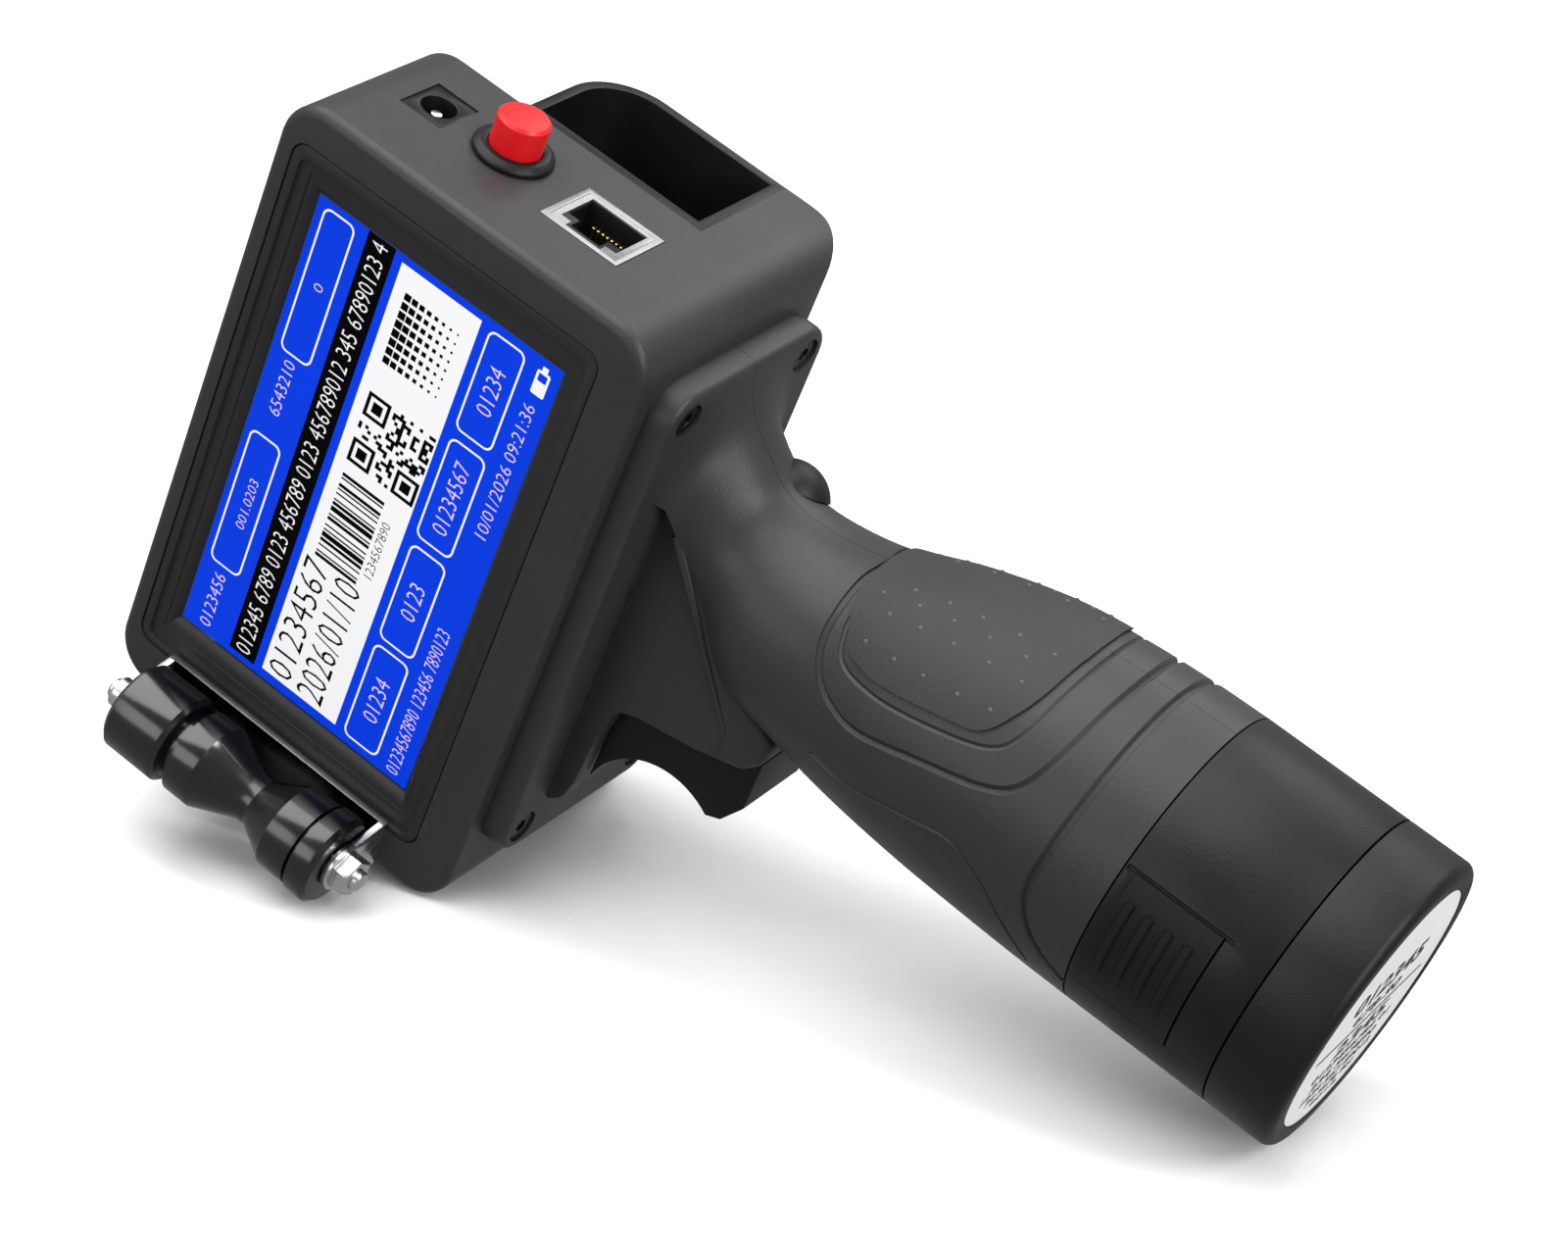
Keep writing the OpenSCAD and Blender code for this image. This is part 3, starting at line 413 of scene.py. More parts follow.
bezelCuts = {"bandLow": (-4.6, -7.2), "bandHigh": (58.6, 101.0), "bandDepth": -1.5, "bandRadius": 2.2,
             "slopeOuter": (29.1, 50.9), "slopeInner": (27.15, 47.65), "centre": (26.95, 47.5),
             "slopeDepth": -1.9, "edge": 0.22}
bezel = cadCopy("screen_bezel")
(lowX, lowZ), (highX, highZ) = bezelCuts["bandLow"], bezelCuts["bandHigh"]
band = roundedBlock("band", (lowX, -4, lowZ), (highX, bezelCuts["bandDepth"], highZ), bezelCuts["bandRadius"], 5)
combine(bezel, band, "DIFFERENCE")
cx, cz = bezelCuts["centre"]
ix, iz = bezelCuts["slopeInner"]
slope = addBlock("slope", (cx - ix, bezelCuts["slopeDepth"], cz - iz), (cx + ix, 0.02, cz + iz))
pick(slope, lambda centre, normal: normal.y < -0.9, "FACE")
stretchX = bezelCuts["slopeOuter"][0] / ix
stretchZ = bezelCuts["slopeOuter"][1] / iz
bpy.ops.transform.resize(value=(stretchX, 1, stretchZ), center_override=(cx, bezelCuts["slopeDepth"], cz))
bpy.ops.object.mode_set(mode="OBJECT")
combine(bezel, slope, "DIFFERENCE")
soften(bezel, bezelCuts["edge"], angle=50)
finishPiece(bezel, "screenFrame", ["screen_bezel"], paint["dark_trim"], 30)
print("screen box and frame made")


# Lit picture on the screen
# Measured from the lower left of the lit area: across the box, then towards the sockets. Print reads upwards.
picture = {"size": (53.9, 95.0), "base": -0.02, "step": 0.02, "thick": 0.02, "weight": -0.012,
           "blue": (0.003, 0.048, 0.78), "white": (0.95, 0.95, 0.97),
           "black": (0.001, 0.001, 0.001), "pink": (0.8, 0.62, 0.95), "glow": 0.88}
ink = {name: litPicture(name + "Ink", picture[name], picture["glow"]) for name in ("blue", "white", "black", "pink")}
inkPieces = {name: [] for name in ink}


def patch(colour, x0, x1, z0, z1, layer, radius=0.0):
    y = picture["base"] - picture["step"] * layer
    half = picture["thick"] / 2
    low, high = (x0, y - half, z0), (x1, y + half, z1)
    inkPieces[colour].append(roundedBlock("patch", low, high, radius, 5) if radius else addBlock("patch", low, high))


def figures(words, width, height, weight=0.0):
    # A row of figures, lower left at zero, made to fit a width and a height
    clearSelection()
    bpy.ops.object.text_add()
    obj = bpy.context.object
    obj.data.body = words
    obj.data.offset = weight
    obj.data.resolution_u = 2
    bpy.ops.object.convert(target="MESH")
    across = [v.co.x for v in obj.data.vertices]
    up = [v.co.y for v in obj.data.vertices]
    fit = Matrix.Diagonal((width / (max(across) - min(across)), height / (max(up) - min(up)), 1, 1))
    obj.data.transform(fit @ Matrix.Translation((-min(across), -min(up), 0)))
    applyModifier(obj, "SOLIDIFY", thickness=picture["thick"], offset=0)
    return obj


def digits(colour, words, x0, x1, z0, z1, layer):
    # Figures that read towards the sockets, with their tops to the left at x0
    obj = figures(words, z1 - z0, x1 - x0, picture["weight"])
    y = picture["base"] - picture["step"] * layer
    obj.data.transform(Matrix(((0, -1, 0, x1), (0, 0, -1, y), (1, 0, 0, z0), (0, 0, 0, 1))))
    inkPieces[colour].append(obj)


def outlinedBox(x0, x1, z0, z1):
    patch("white", x0, x1, z0, z1, 1, 1.6)
    patch("blue", x0 + 0.38, x1 - 0.38, z0 + 0.38, z1 - 0.38, 2, 1.3)


# Boxes: left, right, low, high. Marks: ink, figures or none for a plain patch, the same four sides, layer
screenRows = {
    "boxes": ((1.3, 8.5, 15.3, 45.4), (1.5, 8.5, 63.4, 93.7)),
    "marks": (("pink", "0123456", 3.4, 6.0, 1.5, 13.6, 1),
              ("pink", "6543210", 3.3, 5.8, 50.6, 62.2, 1),
              ("pink", "0", 4.2, 6.2, 78.0, 79.5, 3),
              ("pink", "001.0203", 4.3, 6.3, 25.0, 36.0, 3),
              ("black", "", 11.0, 17.0, 1.2, 95.0, 1),
              ("white", "012345 6789 0123 456789 0123 456789012 345 67890123 4", 12.2, 15.6, 2.0, 94.0, 2),
              ("white", "", 18.8, 36.5, 1.9, 93.6, 1),
              ("black", "01234567", 19.8, 25.2, 2.9, 30.0, 2),
              ("black", "2026/01/10", 26.6, 32.6, 2.9, 30.4, 2),
              ("black", "1234567890", 31.7, 33.6, 34.0, 46.4, 2),
              ("pink", "01234567890 123456 7890123", 48.8, 51.6, 1.2, 35.0, 1),
              ("pink", "10/01/2026 09:21:36", 48.9, 51.4, 56.5, 85.5, 1)),
    "buttons": ((1.6, 23.5, "01234"), (24.9, 46.6, "0123"), (48.3, 70.4, "01234567"), (72.2, 93.4, "01234")),
    "buttonSides": (38.4, 46.5), "buttonFigures": (40.9, 44.2), "figureSpan": 0.95,
    "battery": (("white", 49.2, 52.0, 87.8, 92.6, 1, 0.4), ("white", 50.0, 51.2, 92.5, 93.6, 1),
                ("blue", 49.7, 51.5, 90.6, 92.1, 2))}
patch("blue", 0, picture["size"][0], 0, picture["size"][1], 0)
for box in screenRows["boxes"]:
    outlinedBox(*box)
for colour, words, *sides in screenRows["marks"]:
    if words:
        digits(colour, words, *sides)
    else:
        patch(colour, *sides)
for row in screenRows["battery"]:
    patch(*row)
for low, high, words in screenRows["buttons"]:
    outlinedBox(*screenRows["buttonSides"], low, high)
    half = len(words) * screenRows["figureSpan"]
    digits("pink", words, *screenRows["buttonFigures"], (low + high) / 2 - half, (low + high) / 2 + half, 3)

barcode = {"widths": (2, 1, 1, 3, 1, 2, 2, 1, 3, 1, 1, 2, 1, 3, 2, 1, 1,
                      2, 3, 1, 2, 1, 1, 3, 1, 2, 1, 1, 2, 3, 1, 1, 2),
           "sides": (21.3, 30.9), "start": 31.0, "end": 49.8}
barWidth = (barcode["end"] - barcode["start"]) / sum(barcode["widths"])
z = barcode["start"]
for i, n in enumerate(barcode["widths"]):
    if i % 2 == 0:
        patch("black", *barcode["sides"], z, z + n * barWidth, 2)
    z += n * barWidth

codeSquare = {"low": (21.0, 52.6), "cell": 0.72, "cells": 21}
clearSelection()
bpy.ops.mesh.primitive_grid_add(x_subdivisions=codeSquare["cells"], y_subdivisions=codeSquare["cells"], size=1)
grid = bpy.context.object
span = codeSquare["cell"] * codeSquare["cells"]


def darkCell(i, j):
    # Three nested corner squares and a plain mixed filling
    n = codeSquare["cells"]
    for a, b in ((i, j), (n - 1 - i, j), (i, n - 1 - j)):
        if a < 8 and b < 8:
            ring = max(abs(a - 3), abs(b - 3))
            return ring in (0, 1, 3) and a < 7 and b < 7
    return (i * 7 + j * 5 + (i * j) % 5 + (i ^ j)) % 5 < 2


cells = codeSquare["cells"]
pick(grid, lambda c, n: not darkCell(int((c.x + 0.5) * cells), int((c.y + 0.5) * cells)), "FACE")
bpy.ops.mesh.delete(type="FACE")
bpy.ops.mesh.select_all(action="SELECT")
bpy.ops.mesh.extrude_region_move(TRANSFORM_OT_translate={"value": (0, 0, picture["thick"])})
bpy.ops.object.mode_set(mode="OBJECT")
x, z = (edge + span / 2 for edge in codeSquare["low"])
y = picture["base"] - picture["step"] * 2
grid.data.transform(Matrix(((span, 0, 0, x), (0, 0, -1, y), (0, span, 0, z), (0, 0, 0, 1))))
inkPieces["black"].append(grid)
# A patch of dots that shrink towards one side and away from its middle
dotPatch = {"low": (22.0, 75.0), "pitch": (1.6, 1.9), "count": 8, "radius": 0.78, "shrink": 0.075, "fade": 0.02}
for i in range(dotPatch["count"]):
    for j in range(dotPatch["count"]):
        r = dotPatch["radius"] - dotPatch["shrink"] * i - dotPatch["fade"] * abs(j - (dotPatch["count"] - 1) / 2)
        x = dotPatch["low"][0] + i * dotPatch["pitch"][0]
        z = dotPatch["low"][1] + j * dotPatch["pitch"][1]
        patch("black", x - r, x + r, z - r, z + r, 2)

for colour, pieces in inkPieces.items():
    part = join(colour + "Print", pieces)
    part.data.materials.clear()
    part.visible_glossy = False
    finishPiece(part, colour + "Print", [], ink[colour], 20, "housing")
print("screen picture made")


# Grip
# Each station: distance from the box side, height of the centre, half height, half width
gripShape = {"axisY": 25.5, "boxSide": body["right"], "plateFace": 74.2, "start": 73.9, "end": 175.0, "sides": 72,
             "stations": ((4.7, 75.5, 25.0, 21.0), (5.6, 75.3, 21.5, 17.8), (7.4, 74.8, 18.2, 15.4),
                          (10.5, 73.8, 16.0, 14.2), (14.5, 71.5, 14.9, 14.0), (18.8, 68.6, 14.8, 14.6),
                          (26.8, 64.6, 17.6, 17.6), (39.4, 64.4, 20.0, 20.0), (53.6, 66.3, 23.5, 23.5),
                          (68.8, 68.0, 26.1, 26.1), (82.0, 68.7, 27.2, 27.2), (95.0, 69.0, 27.8, 27.8),
                          (105.8, 69.1, 28.0, 28.0)),
             "axisZ": 69.1, "wellRadius": 22.7, "wellStart": 134.0, "wellEnd": 176.0, "seam": 0.05, "ringPitch": 1.8,
             "plateLow": (2.1, -2.5), "plateHigh": (48.9, 101.3), "plateCorner": 6.5, "plateEdge": 1.3,
             "screwSpots": ((8, 2.9), (8, 95.9), (43, 2.9), (43, 95.9)), "seatRadius": 3.3, "seatDepth": 3.4}


def gripAt(x):
    # Centre height, half height and half width of the grip at x, on a smooth curve through the stations
    rows = gripShape["stations"]
    d = min(max(x - gripShape["boxSide"], rows[0][0]), rows[-1][0])
    i = max(k for k in range(len(rows) - 1) if rows[k][0] <= d)
    r0, r1, r2, r3 = rows[max(i - 1, 0)], rows[i], rows[i + 1], rows[min(i + 2, len(rows) - 1)]
    u = (d - r1[0]) / (r2[0] - r1[0])
    out = []
    for k in (1, 2, 3):
        m1 = (r2[k] - r0[k]) / max(r2[0] - r0[0], 1e-6) * (r2[0] - r1[0])
        m2 = (r3[k] - r1[k]) / max(r3[0] - r1[0], 1e-6) * (r2[0] - r1[0])
        out.append((2 * u ** 3 - 3 * u * u + 1) * r1[k] + (u ** 3 - 2 * u * u + u) * m1
                   + (3 * u * u - 2 * u ** 3) * r2[k] + (u ** 3 - u * u) * m2)
    return out


def gripPoint(x, angle, lift=0.0):
    # A point on the grip: angle from the front face towards the sockets
    z, tall, wide = gripAt(x)
    a = math.radians(angle)
    return Vector((x, gripShape["axisY"] - (wide + lift) * math.cos(a), z + (tall + lift) * math.sin(a)))


def loft(name, xs, lift=0.0):
    # A closed skin through the grip's rings at xs, lifted off its surface
    rings = []
    for x in xs:
        z, tall, wide = gripAt(x)
        clearSelection()
        bpy.ops.mesh.primitive_circle_add(vertices=gripShape["sides"], radius=1, fill_type="NOTHING",
                                          location=(x, gripShape["axisY"], z), rotation=(0, math.pi / 2, 0))
        bpy.context.object.scale = (tall + lift, wide + lift, 1)
        bpy.ops.object.transform_apply(location=True, rotation=True, scale=True)
        rings.append(bpy.context.object)
    obj = join(name, rings)
    activate(obj)
    bpy.ops.object.mode_set(mode="EDIT")
    bpy.ops.mesh.select_all(action="SELECT")
    bpy.ops.mesh.bridge_edge_loops()
    bpy.ops.object.mode_set(mode="OBJECT")
    for end in (xs[0], xs[-1]):
        pick(obj, lambda a, b: abs(a.x - end) < 1e-4 and abs(b.x - end) < 1e-4)
        bpy.ops.mesh.edge_face_add()
        bpy.ops.object.mode_set(mode="OBJECT")
    return closeUp(obj)


def steps(x0, x1, pitch):
    n = max(2, round((x1 - x0) / pitch))
    return [x0 + (x1 - x0) * i / n for i in range(n + 1)]


def sideProfile(name, outline, y0, y1, edge=0.0):
    # A flat shape seen from the front, given thickness from y0 to y1
    clearSelection()
    bpy.ops.mesh.primitive_circle_add(vertices=len(outline), radius=1, fill_type="NGON")
    obj = bpy.context.object
    obj.name = name
    for v, (x, z) in zip(obj.data.vertices, outline):
        v.co = (x, y0, z)
    bpy.ops.object.mode_set(mode="EDIT")
    bpy.ops.mesh.select_all(action="SELECT")
    bpy.ops.mesh.extrude_region_move(TRANSFORM_OT_translate={"value": (0, y1 - y0, 0)})
    bpy.ops.mesh.select_all(action="SELECT")
    bpy.ops.mesh.normals_make_consistent(inside=False)
    bpy.ops.object.mode_set(mode="OBJECT")
    if edge:
        soften(obj, edge, 3, 20)
    return obj


def smoothPath(points, pitch=1.2, closed=False):
    # Evenly spaced points on a smooth curve through (x, angle) points
    pts = list(points)
    n = len(pts)
    out = []
    for i in range(n if closed else n - 1):
        p0 = pts[i - 1] if closed or i else pts[0]
        p1, p2 = pts[i], pts[(i + 1) % n]
        p3 = pts[(i + 2) % n] if closed or i + 2 < n else pts[-1]
        gap = math.hypot(p2[0] - p1[0], (p2[1] - p1[1]) * 0.4)
        for k in range(max(1, round(gap / pitch))):
            u = k / max(1, round(gap / pitch))
            out.append([0.5 * (2 * b + (c - a) * u + (2 * a - 5 * b + 4 * c - d) * u * u
                               + (3 * b - a - 3 * c + d) * u ** 3) for a, b, c, d in zip(p0, p1, p2, p3)])
    if not closed:
        out.append(list(pts[-1]))
    return out


def grooveTool(name, points, radius, lift, closed=False):
    # A round cord that follows the grip's surface, used to cut a groove or to raise a bead
    curve = bpy.data.curves.new(name, "CURVE")
    curve.dimensions = "3D"
    curve.bevel_depth = radius
    curve.bevel_resolution = 1
    curve.use_fill_caps = True
    line = curve.splines.new("POLY")
    path = smoothPath(points, 1.2, closed)
    line.points.add(len(path) - 1)
    for p, (x, angle) in zip(line.points, path):
        p.co = (*gripPoint(x, angle, lift), 1)
    line.use_cyclic_u = closed
    obj = bpy.data.objects.new(name, curve)
    bpy.context.scene.collection.objects.link(obj)
    activate(obj)
    bpy.ops.object.convert(target="MESH")
    return closeUp(bpy.context.object)


def mirrored(points):
    # The same line carried over the top to the back of the grip
    return [(x, 180 - angle) for x, angle in points]


gripLines = {
    "padRim": [(113.8, 90), (112.0, 74), (112.2, 55), (113.2, 42), (116.5, 29), (124.5, 24.5), (136, 26.5), (146.0, 32),
               (149.4, 42), (150.6, 62), (151.2, 90)],
    "frame": [(110.0, 90), (109.2, 70), (109.8, 48), (111.0, 32), (114.4, 18), (119, 10.5), (125, 8), (137, 13.5),
              (148, 19), (153.6, 26), (156.3, 40), (157.6, 62), (158.2, 90)],
    "hoop": [(164.4, 90), (164.3, 45), (163.7, 15), (163.4, 2), (164.2, -8), (166.4, -17), (170.0, -25), (174.9, -31)],
    "palm": [(118.5, -17.5), (124.0, -18.2), (129.0, -16.2), (133.8, -12.9), (139.7, -9.2), (148.2, -5.4),
             (155.9, -12.6), (161.1, -22.4), (164.7, -30.1), (167.5, -38)],
}
# Radius of each groove's cutter, and how far its middle stands off the grip
grooves = {"padRim": (0.6, 0.2), "frame": (0.9, 0.2), "hoop": (1.0, 0.2), "palm": (0.5, 0.1)}


def roundTheTop(points):
    # Closes a line that starts and ends on the top of the grip, through its mirror image
    return points + mirrored(points[1:-1])[::-1]


def overTheTop(points):
    # Joins a line that starts on the top of the grip to its mirror image
    return mirrored(points[1:])[::-1] + points


grip = loft("gripShell", steps(gripShape["start"], gripShape["end"], gripShape["ringPitch"]))
plate = roundedBlock("plate", (gripShape["boxSide"], *gripShape["plateLow"]),
                     (gripShape["plateFace"], *gripShape["plateHigh"]), gripShape["plateCorner"], 8, "x")
pick(plate, lambda a, b: abs(a.x - gripShape["plateFace"]) < 1e-4 and abs(b.x - gripShape["plateFace"]) < 1e-4)
bevelPicked(gripShape["plateEdge"], 4)
# The web that guards the trigger: its outline and slot seen from the front, and its sunk panels with their beads
webShape = {"outline": [(73.7, 84), (80.2, 75.5), (99.4, 52.5), (109, 48), (108.8, 43.2), (105.8, 39.6), (96, 36.8),
                        (84, 34.6), (80.0, 32.8), (78.8, 26), (78.0, 14), (77.0, 9.5), (73.7, 6.5)],
            "sides": (12.0, 39.0), "edge": 1.6,
            "slot": [(76.8, 6), (108.4, 6), (108.4, 50.5), (98.2, 53), (76.8, 53)], "slotSides": (16.5, 34.5),
            "panel": [(74.35, 79.5), (78.8, 72.5), (97.0, 49.8), (100.8, 44.5), (101.5, 33), (74.35, 5)],
            "panelSides": ((0, 12.9, 12.1), (38.1, 51, 38.9)), "beadRadius": 1.15, "beadTip": 0.25}
web = sideProfile("web", webShape["outline"], *webShape["sides"], webShape["edge"])
print("grip lofted")
combine(grip, plate, "UNION")
combine(grip, web, "UNION")
combine(grip, sideProfile("triggerSlot", webShape["slot"], *webShape["slotSides"]), "DIFFERENCE")
wellMiddle = ((gripShape["wellStart"] + gripShape["wellEnd"]) / 2, gripShape["axisY"], gripShape["axisZ"])
wellLength = gripShape["wellEnd"] - gripShape["wellStart"]
combine(grip, addRod("well", wellMiddle, gripShape["wellRadius"], wellLength, "X", 64), "DIFFERENCE")
for y, z in gripShape["screwSpots"]:
    seat = addRod("screwSeat", (gripShape["plateFace"], y, z), gripShape["seatRadius"], gripShape["seatDepth"], "X", 32)
    combine(grip, seat, "DIFFERENCE")
for y0, y1, ridge in webShape["panelSides"]:
    combine(grip, sideProfile("panel", webShape["panel"], y0, y1), "DIFFERENCE")
    ends = [Vector((p[0] - 0.5, ridge, p[1])) for p in (webShape["panel"][1], webShape["panel"][3])]
    run = ends[1] - ends[0]
    bead = addRod("bead", (0, 0, 0), webShape["beadRadius"], run.length, "Z", 24, webShape["beadTip"])
    bead.data.transform(Matrix.Translation((ends[0] + ends[1]) / 2) @ run.to_track_quat("Z", "Y").to_matrix().to_4x4())
    combine(grip, bead, "UNION")
for name in ("padRim", "frame"):
    combine(grip, grooveTool(name, roundTheTop(gripLines[name]), *grooves[name], True), "DIFFERENCE")
combine(grip, grooveTool("hoop", overTheTop(gripLines["hoop"]), *grooves["hoop"]), "DIFFERENCE")
for line in (gripLines["palm"], mirrored(gripLines["palm"])):
    combine(grip, grooveTool("palm", line, *grooves["palm"]), "DIFFERENCE")
print("grip grooved, %d faces" % len(grip.data.polygons))
for side, node, keep in (("front", "grip_front", False), ("rear", "grip_rear", True)):
    half = grip.copy()
    half.data = grip.data.copy()
    bpy.context.scene.collection.objects.link(half)
    activate(half)
    bpy.ops.object.mode_set(mode="EDIT")
    bpy.ops.mesh.select_all(action="SELECT")
    cut = gripShape["axisY"] + (gripShape["seam"] if keep else -gripShape["seam"])
    bpy.ops.mesh.bisect(plane_co=(0, cut, 0), plane_no=(0, 1, 0), use_fill=True,
                        clear_inner=keep, clear_outer=not keep)
    bpy.ops.object.mode_set(mode="OBJECT")
    finishPiece(half, side + "Grip", [node], paint["grey_case"], 38)
bpy.data.objects.remove(grip)
print("grip halves made")

# Rubber pad with its dots
padShape = {"lift": 0.55, "ends": (107.0, 152.0), "lid": [(151.5, 110), (106.5, 110)],
            "outline": [(110.0, 68), (111.9, 53), (115.6, 38), (118.4, 33.4), (124.5, 30.6), (136, 32.6), (143.2, 36),
                        (146.4, 47), (148.2, 62), (149.0, 90)],
            "dotRadius": 0.5, "dotSunk": 0.3,
            "dots": ((118.3, 73), (124.7, 73), (130.9, 73), (137.9, 73), (144.6, 73), (114.2, 66), (121.0, 66),
                     (127.6, 66), (134.4, 66), (141.4, 66), (117.9, 57), (123.9, 57), (130.4, 57), (137.3, 57),
                     (143.7, 57), (117.7, 42), (123.9, 41), (129.8, 41), (136.5, 41.5), (142.6, 43))}
x0, x1 = padShape["ends"]
pad = loft("pad", steps(x0, x1, gripShape["ringPitch"]), padShape["lift"])
combine(pad, loft("core", steps(x0 - 1, x1 + 1, gripShape["ringPitch"]), 0.02), "DIFFERENCE")
edge = smoothPath(padShape["outline"], 1.5)
rim = [(gripPoint(x, a).x, gripPoint(x, a).z) for x, a in edge]
combine(pad, sideProfile("padSide", rim + padShape["lid"], -10, 60), "INTERSECT")
finishPiece(pad, "rubberPad", ["grip_pad"], paint["grip_rubber"], 38)

dots = []
for x, a in padShape["dots"]:
    for angle in (a, 180 - a):
        clearSelection()
        bpy.ops.mesh.primitive_uv_sphere_add(segments=12, ring_count=8, radius=padShape["dotRadius"],
                                             location=gripPoint(x, angle, padShape["lift"] - padShape["dotSunk"]))
        dots.append(bpy.context.object)
dotPaint = mouldedPlastic("padDot", (0.075, 0.075, 0.076), 0.08, 0.5, 1700, 0.2, 0.0, 0.3)
finishPiece(closeUp(join("padDots", dots)), "padDots", [], dotPaint, 40, "housing")
print("pad made")


# Battery: shell, latches and printed label
batteryShape = {"line": [(175.6, 27.5), (196.3, 27.5)], "lineRadius": 0.45, "radius": 28.0,
                "latch": (177.25, 194.55, 57.95, 81.75), "thickness": 2.15, "reach": 16,
                "ribs": (179.4, 183.2, 187.0, 190.8), "ribAngles": (18, 8, -2, -12),
                "ribRadius": 1.15, "ribLift": -0.35}
shell = cadCopy("battery_shell")
soften(shell, 0.3)
for line in (batteryShape["line"], mirrored(batteryShape["line"])):
    combine(shell, grooveTool("line", line, batteryShape["lineRadius"], 0.0), "DIFFERENCE")
finishPiece(shell, "batteryShell", ["battery_shell"], paint["battery_black"], 30)
for side, node in (("front", "latch_front"), ("rear", "latch_rear")):
    x0, x1, z0, z1 = batteryShape["latch"]
    axisY = gripShape["axisY"]
    radius = batteryShape["radius"]
    middle = ((x0 + x1) / 2, axisY, gripShape["axisZ"])
    reach = (-5, axisY - batteryShape["reach"]) if side == "front" else (axisY + batteryShape["reach"], 56)
    latch = addRod("latch", middle, radius, x1 - x0, "X", 120)
    hollow = addRod("hollow", middle, radius - batteryShape["thickness"], x1 - x0 + 2, "X", 120)
    combine(latch, hollow, "DIFFERENCE")
    combine(latch, addBlock("window", (x0 - 1, reach[0], z0), (x1 + 1, reach[1], z1)), "INTERSECT")
    for x in batteryShape["ribs"]:
        line = [(x, a) for a in batteryShape["ribAngles"]]
        line = line if side == "front" else mirrored(line)
        combine(latch, grooveTool("rib", line, batteryShape["ribRadius"], batteryShape["ribLift"]), "UNION")
    finishPiece(latch, side + "Latch", [node], paint["battery_black"], 35)

label = cadCopy("battery_label")
tip = max(v.co.x for v in label.data.vertices)
finishPiece(label, "batteryLabel", ["battery_label"], paint["label_white"], 30)
# Each line: height, width, bottom and figures, measured from the middle of the label
labelPrint = {"lines": ((5.0, 25, 4.6, "012345"), (3.0, 17, 0.3, "678-90"), (3.8, 19, -6.6, "2345"),
                        (2.1, 28, -9.7, "0123456789 01"), (2.1, 24, -12.7, "234 567890"),
                        (2.0, 25, -15.6, "1234 567 89012"), (1.8, 17, -18.3, "34 5678 901"), (1.4, 10, -20.7, "9012")),
              "rule": (38, 0.7, -1.7), "weight": 0.03, "lift": 0.02}
marks = []
for height, width, bottom, words in labelPrint["lines"]:
    mark = figures(words, width, height, labelPrint["weight"])
    left, foot = gripShape["axisY"] - width / 2, gripShape["axisZ"] + bottom
    mark.data.transform(Matrix(((0, 0, 1, tip + labelPrint["lift"]), (1, 0, 0, left), (0, 1, 0, foot), (0, 0, 0, 1))))
    marks.append(mark)
width, height, bottom = labelPrint["rule"]
left, foot = gripShape["axisY"] - width / 2, gripShape["axisZ"] + bottom
marks.append(addBlock("rule", (tip + labelPrint["lift"] / 2, left, foot),
                      (tip + labelPrint["lift"] * 1.5, left + width, foot + height)))
finishPiece(join("labelPrint", marks), "labelPrint", [], paint["black_plastic"], 20, "battery")
print("battery shell, latches and label made")


# Network socket with its wide rim
socketShape = {"centre": (42.4, 17.4), "size": (16.5, 13.9), "opening": (11.8, 9.0), "notch": (7.4, 2.4),
               "shift": 0.6, "thickness": 0.9, "inset": 0.4, "lift": 0.02}
socket = cadCopy("network_socket")
cx, cy = socketShape["centre"]
w, d = socketShape["size"]
top = body["top"]
halfW, halfD = w / 2 - socketShape["inset"], d / 2 - socketShape["inset"]
rimPlate = addBlock("rimPlate", (cx - halfW, cy - halfD, top - socketShape["thickness"]),
                    (cx + halfW, cy + halfD, top + socketShape["lift"]))
w, d = socketShape["opening"]
y = cy + socketShape["shift"]
combine(rimPlate, addBlock("opening", (cx - w / 2, y - d / 2, top - 2), (cx + w / 2, y + d / 2, top + 2)), "DIFFERENCE")
w, d = socketShape["notch"]
y = y - socketShape["opening"][1] / 2
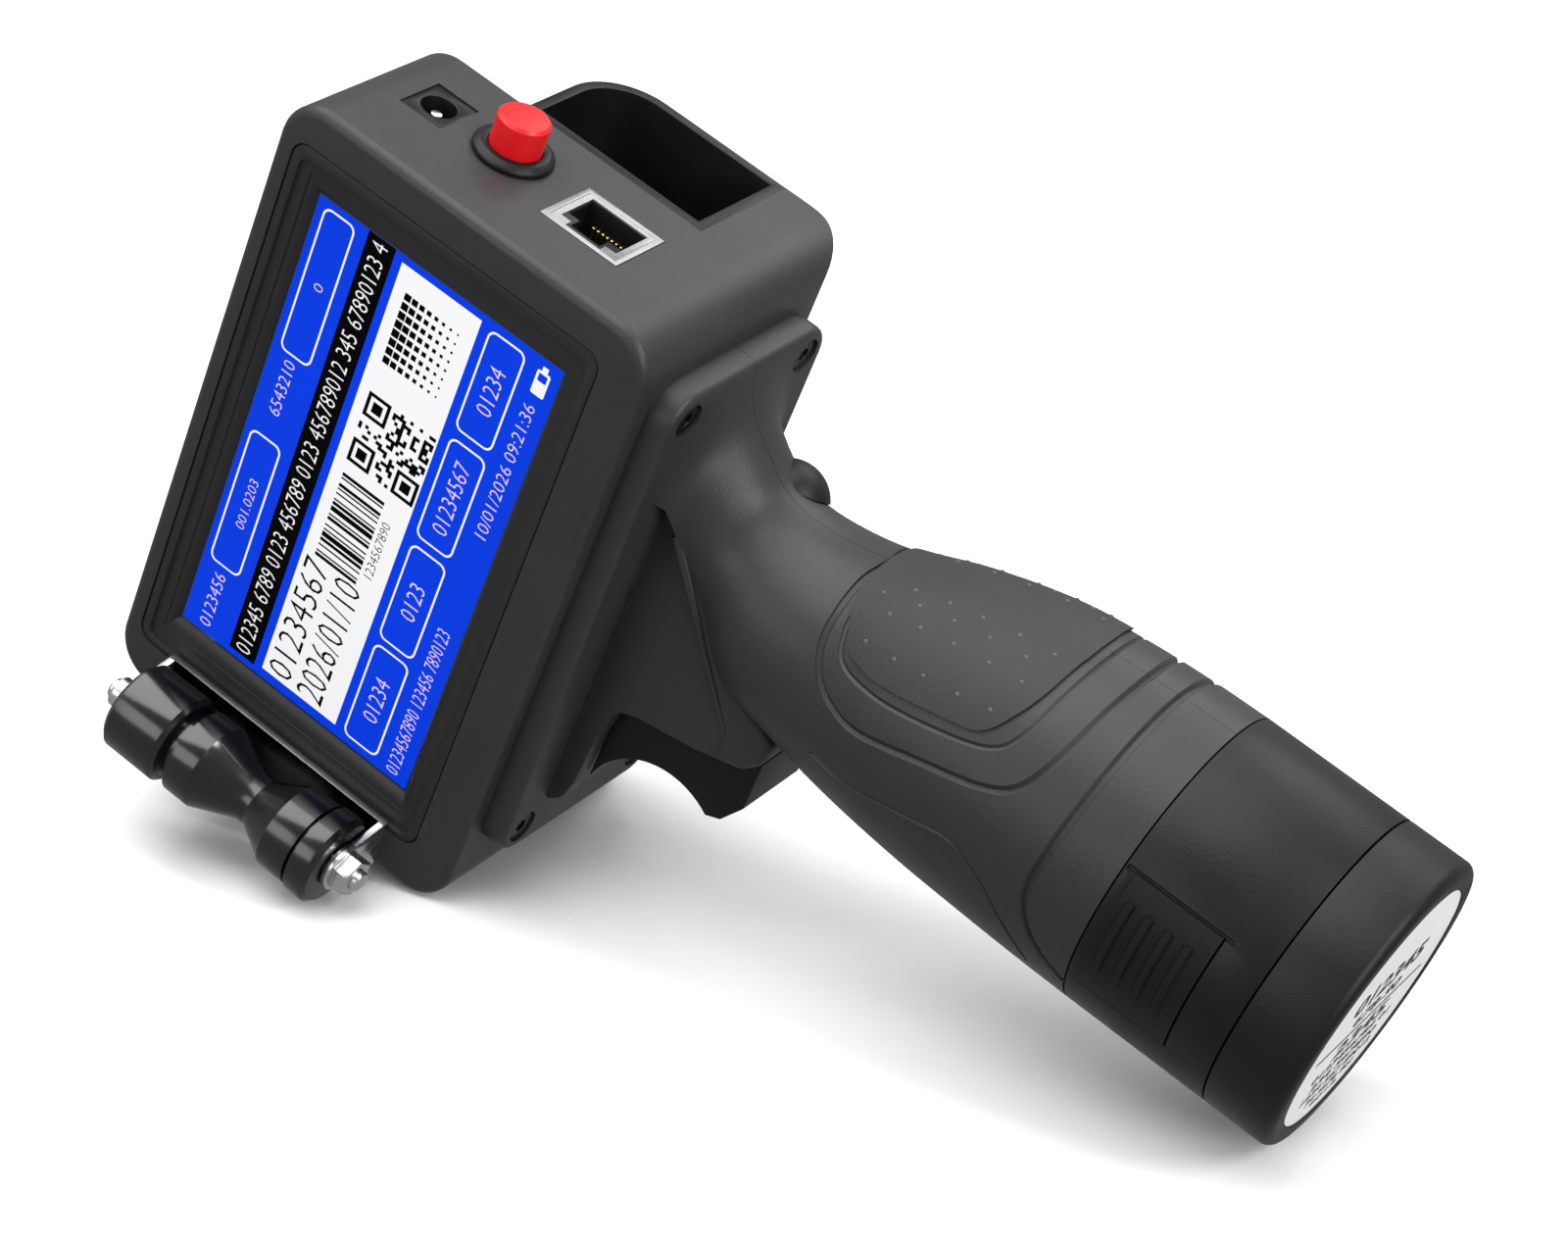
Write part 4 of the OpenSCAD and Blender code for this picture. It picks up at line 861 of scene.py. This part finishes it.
combine(rimPlate, addBlock("notch", (cx - w / 2, y - d, top - 2), (cx + w / 2, y + 1, top + 2)), "DIFFERENCE")
combine(socket, rimPlate, "UNION")
soften(socket, 0.1)
finishPiece(socket, "socketShell", ["network_socket"], paint["steel"], 30)


# Roller bracket: its broad faces dark as a painted reflection, its edges and side faces bright as a painted highlight
bracket = cadCopy("roller_bracket")
soften(bracket, 0.15)
# Broad faces along y get the dark steel, a painted dark reflection; all other faces get the bright steel, a painted
# highlight
for f in bracket.data.polygons:
    f.material_index = 1 if abs(f.normal.y) > 0.9 and f.area > 20 else 0
finishPiece(bracket, "rollerBracket", ["roller_bracket"], [paint["bright_steel"], paint["black_steel"]], 30)


# Pieces that keep their CAD shape, with softened edges
# node: name, edge radius, segments, sharp angle for shading
softened = {
    "rear_cover": ("rearCover", 0.25, 2, 30), "cover_screws": ("coverScrews", 0.15, 2, 30),
    "power_inlet": ("inletBody", 0.2, 2, 35), "inlet_pin": ("inletPin", 0.25, 2, 35),
    "button_collar": ("buttonCollar", 0.25, 3, 35), "power_button": ("redButton", 0.45, 3, 35),
    "network_insert": ("socketInsert", 0.12, 2, 30),
    "network_contacts": ("socketContacts", 0.08, 1, 30), "cartridge_bay": ("cartridgeBay", 0.35, 3, 30),
    "ink_cartridge": ("inkCartridge", 0.5, 3, 30), "face_plate": ("facePlate", 0.15, 2, 30),
    "face_screws": ("faceScrews", 0.15, 2, 30), "plate_screws": ("plateScrews", 0.18, 2, 30),
    "thumb_lobe": ("thumbLobe", 0.4, 2, 40), "trigger": ("triggerLever", 2.0, 5, 40),
    "battery_cap": ("batteryCap", 0.25, 2, 30), "roller_axle": ("rollerAxle", 0.4, 3, 30),
    "axle_nuts": ("axleNuts", 0.3, 2, 30), "left_wheel": ("leftWheel", 0.25, 3, 30),
    "waist_roller": ("waistRoller", 0.3, 3, 30), "right_wheel": ("rightWheel", 0.25, 3, 30),
}
for node, (name, radius, segments, angle) in softened.items():
    piece = cadCopy(node)
    soften(piece, radius, segments)
    finishPiece(piece, name, [node], paint[slotOf[node]], angle)
print("%d pieces softened" % len(softened))
